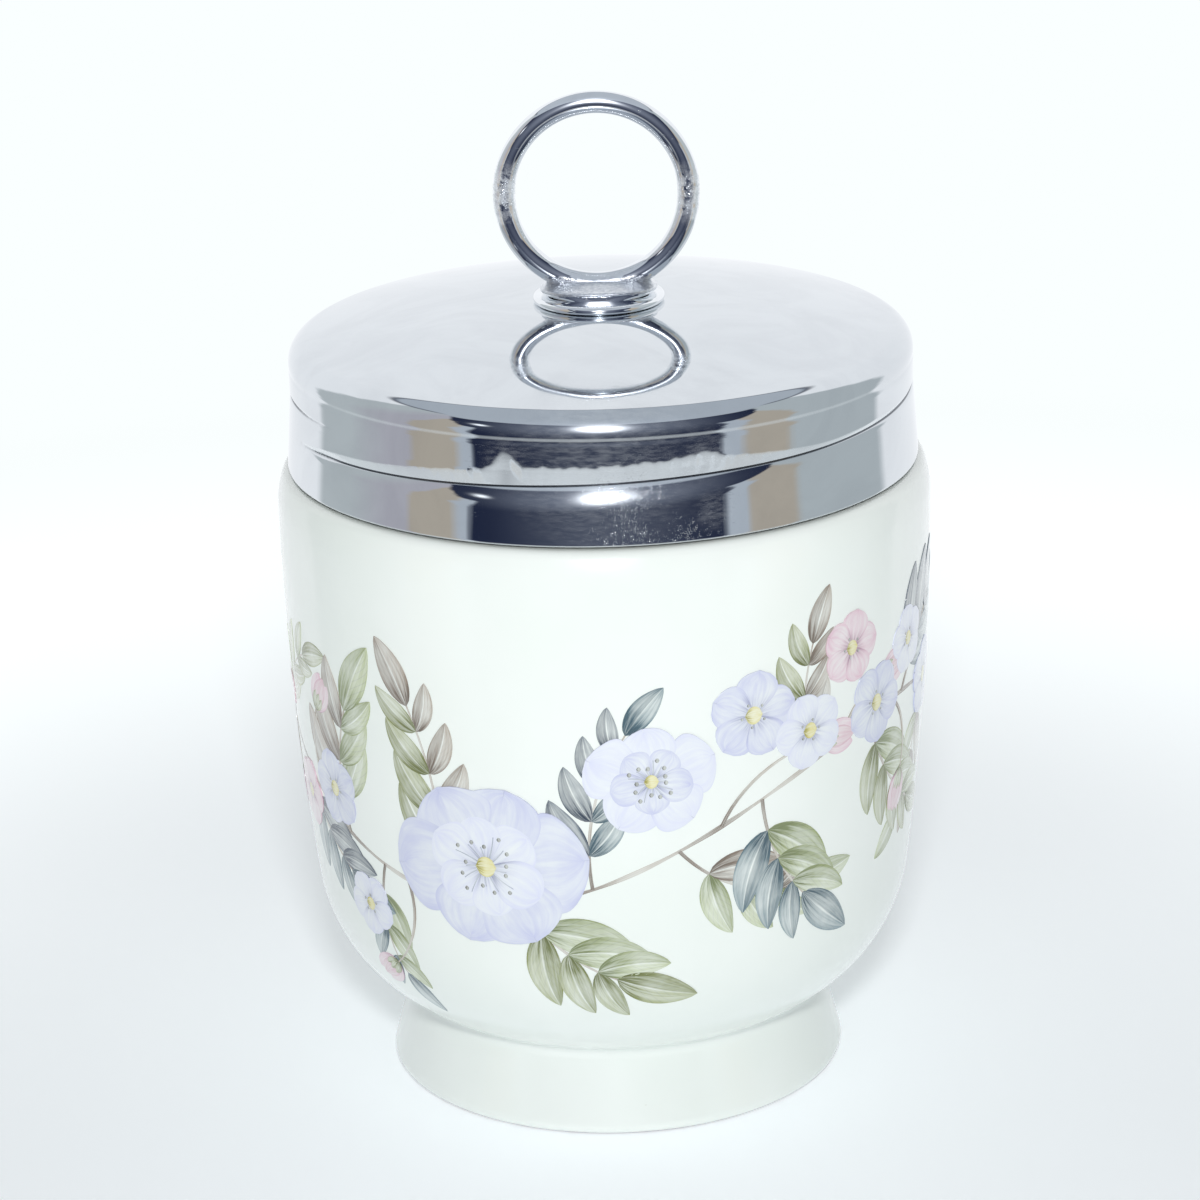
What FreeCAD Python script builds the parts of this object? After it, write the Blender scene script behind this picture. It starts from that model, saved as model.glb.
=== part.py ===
"""Porcelain egg coddler: a footed porcelain cup with a screw-on chromed lid and a ring to lift it by.

Millimetres. The origin is the centre of the foot on the table, +Z is up, and -Y is the front, which
the ring's open side faces. The lid is modelled screwed down.
"""
import FreeCAD, Part
import math
import os
import Sketcher
from FreeCAD import Vector, Placement, Rotation

doc = FreeCAD.newDocument("egg_coddler")

# ---------------------------------------------------------------------------------------------------
# Sizes
# ---------------------------------------------------------------------------------------------------
# Driving sizes, in millimetres and degrees: name, value, what it is.
SIZES = [
    # cup, outside
    ("foot_waist", 20.2, "foot where it meets the bowl"),
    ("foot_height", 8.0, "height of that crease"),
    ("foot_spread", 2.2, "how much wider the foot is at the table, before its edge is rounded"),
    ("foot_ring", 3.4, "width of the ring that stands on the table"),
    ("foot_edge", 0.9, "rounding of the foot's outer lower edge"),
    ("foot_inner_edge", 0.5, "rounding of the foot's inner lower edge"),
    ("foot_crease", 1.5, "fillet between foot and bowl"),
    ("foot_floor", 2.6, "porcelain between the bowl's floor and the hollow under the foot"),
    ("recess_draft", 1.0, "how much narrower the hollow is at its top"),
    ("recess_corner", 1.5, "fillet round the hollow's ceiling"),
    ("belly_radius", 31.0, "widest radius of the bowl"),
    ("bend_curve", 16.0, "radius of the bowl's bottom bend"),
    ("side_inset", 2.17, "how much narrower the bowl is where that bend meets its side"),
    ("side_drop", 37.0, "from there up to the widest point"),
    ("shoulder_rise", 3.5, "widest point up to the shoulder's edge, just under the lid"),
    ("shoulder_inset", 0.8, "how much narrower the shoulder's edge is, before rounding"),
    ("ledge_edge", 0.6, "rounding of that edge"),
    ("neck_clearance", 0.6, "air between the neck and the lid's thread"),
    ("neck_height", 11.5, "neck above the shoulder"),
    ("neck_root", 0.5, "fillet at the neck's root"),
    ("rim_outer_edge", 1.1, "rounding of the rim outside"),
    ("rim_inner_edge", 1.5, "rounding of the rim inside"),
    # cup, inside
    ("wall", 3.1, "porcelain wall of the bowl"),
    ("neck_wall", 3.5, "porcelain wall of the neck"),
    ("mouth_depth", 11.0, "rim down to the lower end of the straight mouth"),
    ("throat_drop", 7.0, "height over which the mouth widens into the bowl"),
    ("floor_dish", 0.6, "how far the floor's middle lies below its bend"),
    # lid shell
    ("sheet", 0.6, "metal of the lid"),
    ("lid_gap", 0.3, "air between the lid's edge and the shoulder"),
    ("lid_inset", 0.8, "skirt, above the thread, in from the shoulder's edge"),
    ("lid_flare", 0.5, "how much wider the skirt is at its edge"),
    ("flare_height", 6.7, "height of the flared part"),
    ("lid_rise", 3.46, "flat seat of the ring above the cup's rim"),
    ("seat_radius", 6.0, "flat seat in the middle of the top"),
    ("dome_radius", 92.0, "curve of the dome round that seat"),
    ("lid_shoulder", 2.2, "rounding between dome and skirt"),
    ("lid_edge", 0.2, "rounding of the skirt's edge"),
    # thread: two starts, rolled into the lid and raised on the neck
    ("thread_starts", 2, "starts"),
    ("thread_lead", 5.8, "rise in one turn"),
    ("thread_sweep", 200.0, "length of each start, in degrees"),
    ("thread_angle", -165.0, "where the first start begins, in degrees from +X"),
    ("skirt_top", 0.8, "straight skirt left between the thread's end and the shoulder"),
    ("groove_depth", 0.7, "crease of the rolled groove"),
    ("groove_above", 1.6, "slope above the crease"),
    ("groove_below", 1.35, "shoulder below the crease"),
    ("groove_curve", 1.25, "curve of that shoulder"),
    ("groove_foot", 0.35, "shoulder's lower end, out from the skirt above the thread"),
    ("crease_width", 0.3, "width of the crease's bottom"),
    ("crease_rise", 0.25, "bottom of the crease to its edges"),
    ("ridge_width", 0.7, "width of the ridge that the groove makes inside"),
    ("ridge_margin", 0.2, "how far that ridge's root reaches past the groove"),
    ("thread_gap", 0.35, "air between the neck's thread and the skirt"),
    ("thread_base", 1.5, "width of the neck's thread at its root"),
    ("thread_tip", 0.7, "width of the neck's thread at its crest"),
    ("thread_root", 0.3, "how deep the neck's thread starts inside the neck"),
    # ring, collar and fastening
    ("ring_radius", 8.6, "ring, to the middle of its wire"),
    ("ring_wire", 2.1, "thickness of the ring"),
    ("collar_radius", 6.2, "collar"),
    ("collar_height", 0.75, "collar"),
    ("pad_width", 11.0, "ring's foot, side to side"),
    ("pad_depth", 7.4, "ring's foot, front to back"),
    ("pad_neck", 0.8, "how far the foot's underside is drawn in"),
    ("pad_rise", 0.45, "height of the drawn-in underside"),
    ("pad_edge", 0.3, "height of the foot's edge"),
    ("saddle_rise", 1.2, "foot's edge to the inside of the ring"),
    ("saddle_step", 0.42, "height of the saddle's wide lower part"),
    ("saddle_sink", 0.35, "how far the saddle's top stays below the inside of the ring"),
    ("saddle_taper", 0.2, "how much thinner than the wire the saddle's top is"),
    ("shank_radius", 2.0, "shank"),
    ("shank_clearance", 0.05, "running fit of the shank"),
    ("washer_radius", 5.0, "washer inside the lid"),
    ("washer_height", 0.7, "washer"),
    ("washer_gap", 0.06, "running gap above and below the washer"),
    ("rivet_radius", 3.2, "riveted head"),
    ("rivet_height", 1.0, "riveted head"),
]

# Sizes that follow from the driving ones: name, formula.
DERIVED = [
    ("foot_radius", "foot_waist + foot_spread"),
    ("foot_inner", "foot_radius - foot_ring"),
    ("recess_radius", "foot_inner - recess_draft"),
    # the side of the bowl is one large arc, upright at the belly; the bottom bend is tangent to it
    ("side_curve", "(side_inset ^ 2 + side_drop ^ 2) / (2 * side_inset)"),
    ("bend_out", "(side_curve - side_inset) / side_curve"),
    ("bend_down", "side_drop / side_curve"),
    ("bend_side", "belly_radius - side_inset"),
    ("bend_centre_r", "bend_side - bend_curve * bend_out"),
    ("bend_centre_z", "foot_height + sqrt(bend_curve ^ 2 - (foot_waist - bend_centre_r) ^ 2)"),
    ("bend_height", "bend_centre_z - bend_curve * bend_down"),
    ("belly_height", "bend_height + side_drop"),
    ("ledge_height", "belly_height + shoulder_rise"),
    ("ledge_radius", "belly_radius - shoulder_inset"),
    ("shoulder_curve", "(shoulder_inset ^ 2 + shoulder_rise ^ 2) / (2 * shoulder_inset)"),
    ("rim_height", "ledge_height + neck_height"),
    # inside of the bowl, one wall away from the outside
    ("inner_bend", "bend_curve - wall"),
    ("inner_bend_r", "bend_centre_r + inner_bend * bend_out"),
    ("inner_bend_z", "bend_centre_z - inner_bend * bend_down"),
    ("inner_belly", "belly_radius - wall"),
    ("throat_height", "rim_height - mouth_depth"),
    ("inner_belly_height", "throat_height - throat_drop"),
    ("inner_drop", "inner_belly_height - inner_bend_z"),
    ("inner_inset", "inner_belly - inner_bend_r"),
    ("inner_side", "(inner_inset ^ 2 + inner_drop ^ 2) / (2 * inner_inset)"),
    # the dished floor is tangent to the inner bend
    ("dish_sink", "inner_bend + floor_dish"),
    ("floor_height", "bend_centre_z - dish_sink"),
    ("recess_depth", "floor_height - foot_floor"),
    ("dish_curve", "(bend_centre_r ^ 2 + dish_sink ^ 2 - inner_bend ^ 2) / (2 * floor_dish)"),
    ("dish_share", "dish_curve / (dish_curve - inner_bend)"),
    ("dish_edge_r", "bend_centre_r * dish_share"),
    ("dish_edge_z", "floor_height + dish_curve + (dish_sink - dish_curve) * dish_share"),
    # lid
    ("lid_radius", "ledge_radius - lid_inset"),
    ("lid_bottom", "ledge_height + lid_gap"),
    ("lid_top", "rim_height + lid_rise"),
    ("lid_mouth", "lid_radius + lid_flare"),
    ("flare_top", "lid_bottom + flare_height"),
    # the dome's arc is centred below the seat's edge, so it leaves the seat level
    ("dome_centre", "lid_top - dome_radius"),
    ("corner_r", "lid_radius - lid_shoulder"),
    ("corner_out", "corner_r - seat_radius"),
    ("corner_reach", "dome_radius - lid_shoulder"),
    ("corner_lift", "sqrt(corner_reach ^ 2 - corner_out ^ 2)"),
    ("corner_z", "dome_centre + corner_lift"),
    ("dome_edge_r", "seat_radius + corner_out * dome_radius / corner_reach"),
    ("dome_edge_z", "dome_centre + corner_lift * dome_radius / corner_reach"),
    ("inner_dome", "dome_radius - sheet"),
    ("inner_shoulder", "lid_shoulder - sheet"),
    ("inner_dome_edge_r", "seat_radius + corner_out * inner_dome / corner_reach"),
    ("inner_dome_edge_z", "dome_centre + corner_lift * inner_dome / corner_reach"),
    ("seat_under", "lid_top - sheet"),
    ("skirt_inner", "lid_radius - sheet"),
    ("lid_mouth_inner", "lid_mouth - sheet"),
    ("hole_radius", "shank_radius + shank_clearance"),
    # thread of the lid, at its beginning
    ("thread_rise", "thread_lead * thread_sweep / 360"),
    ("crease_z", "corner_z - skirt_top - groove_above - thread_rise"),
    ("crease_r", "lid_radius - groove_depth"),
    ("lip_r", "crease_r + crease_rise"),
    ("lip_above_z", "crease_z + crease_width / 2"),
    ("lip_below_z", "crease_z - crease_width / 2"),
    ("groove_top_z", "crease_z + groove_above"),
    ("groove_bottom_z", "crease_z - groove_below"),
    ("groove_bottom_r", "lid_radius + groove_foot"),
    ("outside_r", "lid_mouth + sheet"),
    ("ridge_r", "crease_r - sheet"),
    ("ridge_side_r", "lip_r - sheet"),
    ("ridge_above_z", "crease_z + ridge_width / 2"),
    ("ridge_below_z", "crease_z - ridge_width / 2"),
    ("ridge_root_r", "lid_radius - sheet / 2"),
    ("ridge_top_z", "groove_top_z + ridge_margin"),
    ("ridge_bottom_z", "groove_bottom_z - ridge_margin"),
    # neck and its thread, which runs half way between two turns of the lid's
    ("neck_radius", "ridge_r - neck_clearance"),
    ("mouth_radius", "neck_radius - neck_wall"),
    ("crest_r", "skirt_inner - thread_gap"),
    ("root_r", "neck_radius - thread_root"),
    ("neck_thread_z", "crease_z + thread_lead / thread_starts / 2"),
    ("crest_above_z", "neck_thread_z + thread_tip / 2"),
    ("crest_below_z", "neck_thread_z - thread_tip / 2"),
    ("root_above_z", "neck_thread_z + thread_base / 2"),
    ("root_below_z", "neck_thread_z - thread_base / 2"),
    # the mouth widens into the bowl by an S of two equal arcs
    ("throat_step", "inner_belly - mouth_radius"),
    ("throat_curve", "(throat_step ^ 2 + throat_drop ^ 2) / (4 * throat_step)"),
    ("throat_middle_r", "(inner_belly + mouth_radius) / 2"),
    ("throat_middle_z", "throat_height - throat_drop / 2"),
    # collar, ring and fastening
    ("collar_top", "lid_top + collar_height"),
    ("collar_flat", "collar_radius - collar_height / 2"),
    ("pad_edge_z", "collar_top + pad_rise"),
    ("pad_top_z", "pad_edge_z + pad_edge"),
    ("saddle_z", "pad_top_z + saddle_step"),
    ("saddle_top", "pad_top_z + saddle_rise - saddle_sink"),
    ("ring_z", "pad_top_z + saddle_rise + ring_radius - ring_wire / 2"),
    ("washer_top", "seat_under - washer_gap"),
    ("washer_bottom", "washer_top - washer_height"),
    ("rivet_top", "washer_bottom - washer_gap"),
    ("rivet_bottom", "rivet_top - rivet_height"),
    ("rivet_round", "(rivet_radius ^ 2 + rivet_height ^ 2) / (2 * rivet_height)"),
]


def make_sheet():
    """The spreadsheet that every sketch and feature is bound to."""
    sheet = doc.addObject("Spreadsheet::Sheet", "Dims")
    for row, (name, value, meaning) in enumerate(SIZES, start=1):
        sheet.set(f"A{row}", meaning)
        sheet.set(f"B{row}", str(value))
        sheet.setAlias(f"B{row}", name)
    doc.recompute()
    for row, (name, formula) in enumerate(DERIVED, start=len(SIZES) + 1):
        sheet.set(f"A{row}", name.replace("_", " "))
        sheet.set(f"B{row}", "=" + formula)
        sheet.setAlias(f"B{row}", name)
        doc.recompute()
    return sheet


dims = make_sheet()


def size(name):
    """The value of a named size."""
    return float(dims.get(name))


# ---------------------------------------------------------------------------------------------------
# Sketching helpers
# ---------------------------------------------------------------------------------------------------
# How a sketch numbers its own axes, and the points of an edge.
X_AXIS, Y_AXIS = range(-1, -3, -1)
START, END, CENTRE = range(1, 4)


def origin_feature(body, role):
    """One of the body's own origin planes or axes."""
    return next(item for item in body.Origin.OriginFeatures if item.Role == role)


def new_body(name):
    body = doc.addObject("PartDesign::Body", name)
    body.Label = name
    return body


def arc_through(start, end, radius, turn):
    """The short arc from start to end; turn is 1 to the left and -1 to the right."""
    chord = end - start
    reach = chord.Length / 2
    left = Vector(-chord.y, chord.x, 0) / chord.Length
    centre = (start + end) / 2 + left * turn * math.sqrt(max(radius ** 2 - reach ** 2, 0))
    first, last = (start, end) if turn > 0 else (end, start)
    angles = [math.atan2(p.y - centre.y, p.x - centre.x) for p in (first, last)]
    return Part.ArcOfCircle(Part.Circle(centre, Vector(0, 0, 1), radius), *angles)


def place(name):
    """A coordinate: a size's name, with a leading minus for its negative, or None for zero."""
    if name is None:
        return 0.0
    return -size(name[1:]) if name.startswith("-") else size(name)


def pin(sketch, geometry, end, direction, name):
    """Hold one coordinate of a point at a named size, or on the sketch's axis if there is none."""
    if name is None:
        axis = Y_AXIS if direction == "DistanceX" else X_AXIS
        sketch.addConstraint(Sketcher.Constraint("PointOnObject", geometry, end, axis))
        return
    index = sketch.addConstraint(
        Sketcher.Constraint(direction, X_AXIS, START, geometry, end, place(name)))
    formula = f"-Dims.{name[1:]}" if name.startswith("-") else f"Dims.{name}"
    sketch.setExpression(f"Constraints[{index}]", formula)


def outline(body, name, corners, plane="XZ_Plane", lift=None):
    """A closed sketch.

    corners holds (x, y) pairs of size names. A pair may have a third entry when an arc and not a
    line leads from that corner to the next: (radius, turn), or "half" for a half circle to a corner
    straight above or below. lift raises the sketch off its plane.
    """
    sketch = body.newObject("Sketcher::SketchObject", name)
    sketch.AttachmentSupport = [(origin_feature(body, plane), "")]
    sketch.MapMode = "FlatFace"
    if lift:
        sketch.setExpression("AttachmentOffset.Base.z", f"Dims.{lift}")
    spots = [Vector(place(corner[0]), place(corner[1]), 0) for corner in corners]
    ends = []
    for index, corner in enumerate(corners):
        start, stop = spots[index], spots[(index + 1) % len(spots)]
        if corner[2:] == ("half",):
            half_circle = arc_through(start, stop, (stop - start).Length / 2, 1)
            edge = sketch.addGeometry(half_circle, False)
            ends.append((edge, START, END))
            pin(sketch, edge, CENTRE, "DistanceX", corner[0])
        elif len(corner) == 3:
            radius, turn = corner[2]
            edge = sketch.addGeometry(arc_through(start, stop, size(radius), turn), False)
            ends.append((edge, START, END) if turn > 0 else (edge, END, START))
            bend = sketch.addConstraint(Sketcher.Constraint("Radius", edge, size(radius)))
            sketch.setExpression(f"Constraints[{bend}]", f"Dims.{radius}")
        else:
            edge = sketch.addGeometry(Part.LineSegment(start, stop), False)
            ends.append((edge, START, END))
    for index, corner in enumerate(corners):
        edge, first, last = ends[index]
        following, follow_first, _ = ends[(index + 1) % len(ends)]
        sketch.addConstraint(
            Sketcher.Constraint("Coincident", edge, last, following, follow_first))
        pin(sketch, edge, first, "DistanceX", corner[0])
        pin(sketch, edge, first, "DistanceY", corner[1])
    doc.recompute()
    return sketch


def revolve(body, name, sketch):
    """Turn a half outline about the body's upright axis."""
    turned = body.newObject("PartDesign::Revolution", name)
    turned.Profile = sketch
    turned.ReferenceAxis = (origin_feature(body, "Z_Axis"), [""])
    turned.Angle = 360
    doc.recompute()
    return turned


def circle_edge(shape, radius, height):
    """The name of the round edge of that radius and height."""
    def miss(edge):
        if edge.Degenerated or not isinstance(edge.Curve, Part.Circle):
            return float("inf")
        return abs(edge.Curve.Radius - radius) + abs(edge.Curve.Center.z - height)
    return f"Edge{min(range(len(shape.Edges)), key=lambda i: miss(shape.Edges[i])) + 1}"


def round_edge(body, name, base, radius, at_radius, at_height):
    """Fillet the round edge that lies at a named radius and height."""
    fillet = body.newObject("PartDesign::Fillet", name)
    fillet.Base = (base, [circle_edge(base.Shape, place(at_radius), place(at_height))])
    fillet.setExpression("Radius", f"Dims.{radius}")
    doc.recompute()
    return fillet


def helix(body, kind, name, sketch):
    """Sweep a profile along the thread, and repeat it for every start."""
    sweep = body.newObject(kind, name)
    sweep.Profile = sketch
    sweep.ReferenceAxis = (origin_feature(body, "Z_Axis"), [""])
    sweep.Mode = "pitch-turns-angle"
    sweep.setExpression("Pitch", "Dims.thread_lead")
    sweep.setExpression("Turns", "Dims.thread_sweep / 360")
    doc.recompute()
    starts = body.newObject("PartDesign::PolarPattern", name + "_starts")
    starts.Originals = [sweep]
    starts.Axis = (origin_feature(body, "Z_Axis"), [""])
    starts.Angle = 360
    starts.setExpression("Occurrences", "Dims.thread_starts")
    body.Tip = starts
    doc.recompute()
    return starts


def turn_to_thread(body):
    """Turn a threaded piece about its axis so that its thread begins where it should."""
    body.Placement = Placement(Vector(0, 0, 0), Rotation(Vector(0, 0, 1), size("thread_angle")))
    body.setExpression("Placement.Rotation.Angle", "Dims.thread_angle")


# ---------------------------------------------------------------------------------------------------
# Cup: one piece of porcelain, turned round its axis, with a raised thread on its neck
# ---------------------------------------------------------------------------------------------------
def make_cup():
    body = new_body("cup")
    half = outline(body, "cup_outline", [
        (None, "recess_depth"),
        ("recess_radius", "recess_depth"),
        ("foot_inner", None),
        ("foot_radius", None),
        ("foot_waist", "foot_height", ("bend_curve", 1)),
        ("bend_side", "bend_height", ("side_curve", 1)),
        ("belly_radius", "belly_height", ("shoulder_curve", 1)),
        ("ledge_radius", "ledge_height"),
        ("neck_radius", "ledge_height"),
        ("neck_radius", "rim_height"),
        ("mouth_radius", "rim_height"),
        ("mouth_radius", "throat_height", ("throat_curve", 1)),
        ("throat_middle_r", "throat_middle_z", ("throat_curve", -1)),
        ("inner_belly", "inner_belly_height", ("inner_side", -1)),
        ("inner_bend_r", "inner_bend_z", ("inner_bend", -1)),
        ("dish_edge_r", "dish_edge_z", ("dish_curve", -1)),
        (None, "floor_height"),
    ])
    step = revolve(body, "cup_turned", half)
    for name, radius, at_radius, at_height in [
            ("foot_crease_fillet", "foot_crease", "foot_waist", "foot_height"),
            ("foot_edge_fillet", "foot_edge", "foot_radius", None),
            ("foot_inner_fillet", "foot_inner_edge", "foot_inner", None),
            ("recess_fillet", "recess_corner", "recess_radius", "recess_depth"),
            ("ledge_fillet", "ledge_edge", "ledge_radius", "ledge_height"),
            ("neck_fillet", "neck_root", "neck_radius", "ledge_height"),
            ("rim_outer_fillet", "rim_outer_edge", "neck_radius", "rim_height"),
            ("rim_inner_fillet", "rim_inner_edge", "mouth_radius", "rim_height")]:
        step = round_edge(body, name, step, radius, at_radius, at_height)
    profile = outline(body, "neck_thread_profile", [
        ("root_r", "root_below_z"),
        ("crest_r", "crest_below_z"),
        ("crest_r", "crest_above_z"),
        ("root_r", "root_above_z"),
    ])
    helix(body, "PartDesign::AdditiveHelix", "neck_thread", profile)
    turn_to_thread(body)
    return body


# ---------------------------------------------------------------------------------------------------
# Lid: one spun shell of even thickness, with the thread rolled into its skirt
# ---------------------------------------------------------------------------------------------------
def make_lid_shell():
    body = new_body("lid_shell")
    half = outline(body, "lid_outline", [
        ("lid_mouth_inner", "lid_bottom"),
        ("lid_mouth", "lid_bottom"),
        ("lid_radius", "flare_top"),
        ("lid_radius", "corner_z", ("lid_shoulder", 1)),
        ("dome_edge_r", "dome_edge_z", ("dome_radius", 1)),
        ("seat_radius", "lid_top"),
        ("hole_radius", "lid_top"),
        ("hole_radius", "seat_under"),
        ("seat_radius", "seat_under", ("inner_dome", -1)),
        ("inner_dome_edge_r", "inner_dome_edge_z", ("inner_shoulder", -1)),
        ("skirt_inner", "corner_z"),
        ("skirt_inner", "flare_top"),
    ])
    step = revolve(body, "lid_turned", half)
    step = round_edge(body, "lid_edge_outside", step, "lid_edge", "lid_mouth", "lid_bottom")
    round_edge(body, "lid_edge_inside", step, "lid_edge", "lid_mouth_inner", "lid_bottom")
    ridge = outline(body, "ridge_profile", [
        ("ridge_r", "crease_z"),
        ("ridge_side_r", "ridge_below_z"),
        ("ridge_root_r", "ridge_bottom_z"),
        ("ridge_root_r", "ridge_top_z"),
        ("ridge_side_r", "ridge_above_z"),
    ])
    helix(body, "PartDesign::AdditiveHelix", "rolled_ridge", ridge)
    groove = outline(body, "groove_profile", [
        ("crease_r", "crease_z"),
        ("lip_r", "lip_below_z", ("groove_curve", -1)),
        ("groove_bottom_r", "groove_bottom_z"),
        ("outside_r", "groove_bottom_z"),
        ("outside_r", "groove_top_z"),
        ("lid_radius", "groove_top_z"),
        ("lip_r", "lip_above_z"),
    ])
    helix(body, "PartDesign::SubtractiveHelix", "rolled_groove", groove)
    turn_to_thread(body)
    return body


# ---------------------------------------------------------------------------------------------------
# Collar, washer and ring, all on the lid's axis
# ---------------------------------------------------------------------------------------------------
def make_collar():
    body = new_body("collar")
    half = outline(body, "collar_outline", [
        ("hole_radius", "lid_top"),
        ("collar_flat", "lid_top", "half"),
        ("collar_flat", "collar_top"),
        ("hole_radius", "collar_top"),
    ])
    revolve(body, "collar_turned", half)
    return body


def make_backing_washer():
    body = new_body("backing_washer")
    half = outline(body, "washer_outline", [
        ("hole_radius", "washer_bottom"),
        ("washer_radius", "washer_bottom"),
        ("washer_radius", "washer_top"),
        ("hole_radius", "washer_top"),
    ])
    revolve(body, "washer_turned", half)
    return body


# Sections of the ring's foot, from the collar up: height, width and depth, as formulas.
FOOT_SECTIONS = [
    ("collar_top", "pad_width - 2 * pad_neck", "pad_depth - 2 * pad_neck"),
    ("pad_edge_z", "pad_width", "pad_depth"),
    ("pad_top_z", "pad_width", "pad_depth - pad_edge"),
    ("saddle_z", "pad_width", "(pad_depth + ring_wire) / 2 - pad_edge"),
    ("saddle_top", "pad_width - pad_edge", "ring_wire - saddle_taper"),
]


def add_section_sizes():
    """Half sizes of each section, as further rows of the sheet."""
    row = len(SIZES) + len(DERIVED)
    for index, (_, width, depth) in enumerate(FOOT_SECTIONS):
        for name, formula in [
                (f"section_{index}_end", f"({depth}) / 2"),
                (f"section_{index}_side", f"({width}) / 2 - ({depth}) / 2")]:
            row += 1
            dims.set(f"A{row}", name.replace("_", " "))
            dims.set(f"B{row}", "=" + formula)
            dims.setAlias(f"B{row}", name)
            doc.recompute()


def oval(body, index, lift):
    """A straight-sided oval: two half circles joined by two lines."""
    side, end = f"section_{index}_side", f"section_{index}_end"
    return outline(body, f"foot_section_{index}", [
        ("-" + side, "-" + end),
        (side, "-" + end, "half"),
        (side, end),
        ("-" + side, end, "half"),
    ], plane="XY_Plane", lift=lift)


def make_ring_handle():
    body = new_body("ring_handle")
    sections = [oval(body, index, lift) for index, (lift, _, _) in enumerate(FOOT_SECTIONS)]
    foot = body.newObject("PartDesign::AdditiveLoft", "ring_foot")
    foot.Profile = sections[0]
    foot.Sections = sections[1:]
    foot.Ruled = True
    doc.recompute()
    ring = body.newObject("PartDesign::AdditiveTorus", "ring")
    ring.Placement = Placement(Vector(0, 0, size("ring_z")), Rotation(Vector(1, 0, 0), 90))
    ring.setExpression("Placement.Base.z", "Dims.ring_z")
    ring.setExpression("Radius1", "Dims.ring_radius")
    ring.setExpression("Radius2", "Dims.ring_wire / 2")
    doc.recompute()
    shank = outline(body, "shank_outline", [
        (None, "rivet_bottom", ("rivet_round", 1)),
        ("rivet_radius", "rivet_top"),
        ("shank_radius", "rivet_top"),
        ("shank_radius", "pad_edge_z"),
        (None, "pad_edge_z"),
    ])
    revolve(body, "shank", shank)
    return body


# ---------------------------------------------------------------------------------------------------
# Build, test and write
# ---------------------------------------------------------------------------------------------------
add_section_sizes()
pieces = [make_cup(), make_lid_shell(), make_collar(), make_backing_washer(), make_ring_handle()]
doc.recompute()

for item in doc.Objects:
    broken = {"Invalid", "Error"} & set(item.State)
    if broken:
        raise RuntimeError(f"{item.Name} is {sorted(broken)}")
for piece in pieces:
    shape = piece.Shape
    if shape.isNull() or not shape.isValid() or len(shape.Solids) != 1:
        raise RuntimeError(f"{piece.Label} isn't one valid solid")

os.makedirs("parts", exist_ok=True)
for piece in pieces:
    piece.Shape.exportStep(f"parts/{piece.Label}.step")
    box = piece.Shape.BoundBox
    print(f"{piece.Label}: {piece.Shape.Volume / 1000:.2f} cm3, z {box.ZMin:.2f} to {box.ZMax:.2f}")
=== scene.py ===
import math
from functools import partialmethod

import bmesh
import bpy
import numpy as np
from mathutils import Matrix, Vector


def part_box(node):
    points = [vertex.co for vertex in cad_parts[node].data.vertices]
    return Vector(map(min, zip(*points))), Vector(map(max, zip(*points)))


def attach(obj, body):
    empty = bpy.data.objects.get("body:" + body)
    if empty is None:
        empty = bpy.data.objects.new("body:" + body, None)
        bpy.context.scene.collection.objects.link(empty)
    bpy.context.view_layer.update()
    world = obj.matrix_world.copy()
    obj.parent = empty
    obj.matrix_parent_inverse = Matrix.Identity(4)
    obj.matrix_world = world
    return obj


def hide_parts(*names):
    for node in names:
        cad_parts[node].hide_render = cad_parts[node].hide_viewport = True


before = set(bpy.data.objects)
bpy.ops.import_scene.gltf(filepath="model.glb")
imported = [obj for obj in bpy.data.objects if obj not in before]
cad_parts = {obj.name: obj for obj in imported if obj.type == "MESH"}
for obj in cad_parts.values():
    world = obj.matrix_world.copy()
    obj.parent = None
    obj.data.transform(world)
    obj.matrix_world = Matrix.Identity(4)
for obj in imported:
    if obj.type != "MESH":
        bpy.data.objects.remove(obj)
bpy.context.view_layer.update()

MM = 0.001

# ---- Sizes, in millimetres and degrees, as the CAD part has them ----
FOOT_WAIST, FOOT_HEIGHT, FOOT_SPREAD, FOOT_RING = 20.2, 8.0, 2.2, 3.4
FOOT_FLOOR, RECESS_DRAFT = 2.6, 1.0
BEND_CURVE, SIDE_INSET, SIDE_DROP = 16.0, 2.17, 37.0
SHOULDER_INSET, SHOULDER_RISE = 0.8, 3.5
WALL, FLOOR_DISH = 3.1, 0.6
MOUTH_RADIUS, MOUTH_DEPTH, THROAT_DROP = 24.0, 11.0, 7.0
NECK_RADIUS, NECK_THREAD = 27.5, 0.95
SHEET = 0.6
LID_RADIUS, LID_FLARE, FLARE_HEIGHT = 29.4, 0.5, 6.7
SEAT_RADIUS, DOME_RADIUS, LID_SHOULDER = 6.0, 92.0, 2.2
THREAD_LEAD, THREAD_SWEEP, THREAD_ANGLE, THREAD_STARTS, THREAD_FADE = 5.8, 200.0, -165.0, 2, 22
CREASE_RISE = 4.3
RING_RADIUS, RING_WIRE = 8.6, 2.1
PAD_WIDTH, PAD_DEPTH, PAD_NECK, PAD_RISE, PAD_EDGE = 11.0, 7.4, 0.8, 0.45, 0.3
SHANK_RADIUS, RIVET_RADIUS, RIVET_HEIGHT, HOLE_PLAY = 2.0, 3.2, 1.0, 0.05


def reach_of(node):
    """Bottom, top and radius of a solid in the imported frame."""
    low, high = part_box(node)
    return low.z / MM, high.z / MM, high.x / MM


_, RIM_HEIGHT, BELLY_RADIUS = reach_of("cup")
LID_BOTTOM, _, _ = reach_of("lid_shell")
LID_TOP, COLLAR_TOP, COLLAR_RADIUS = reach_of("collar")
WASHER_LOW, WASHER_HIGH, WASHER_RADIUS = reach_of("backing_washer")
RIVET_LOW, RING_TOP, _ = reach_of("ring_handle")


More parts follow.
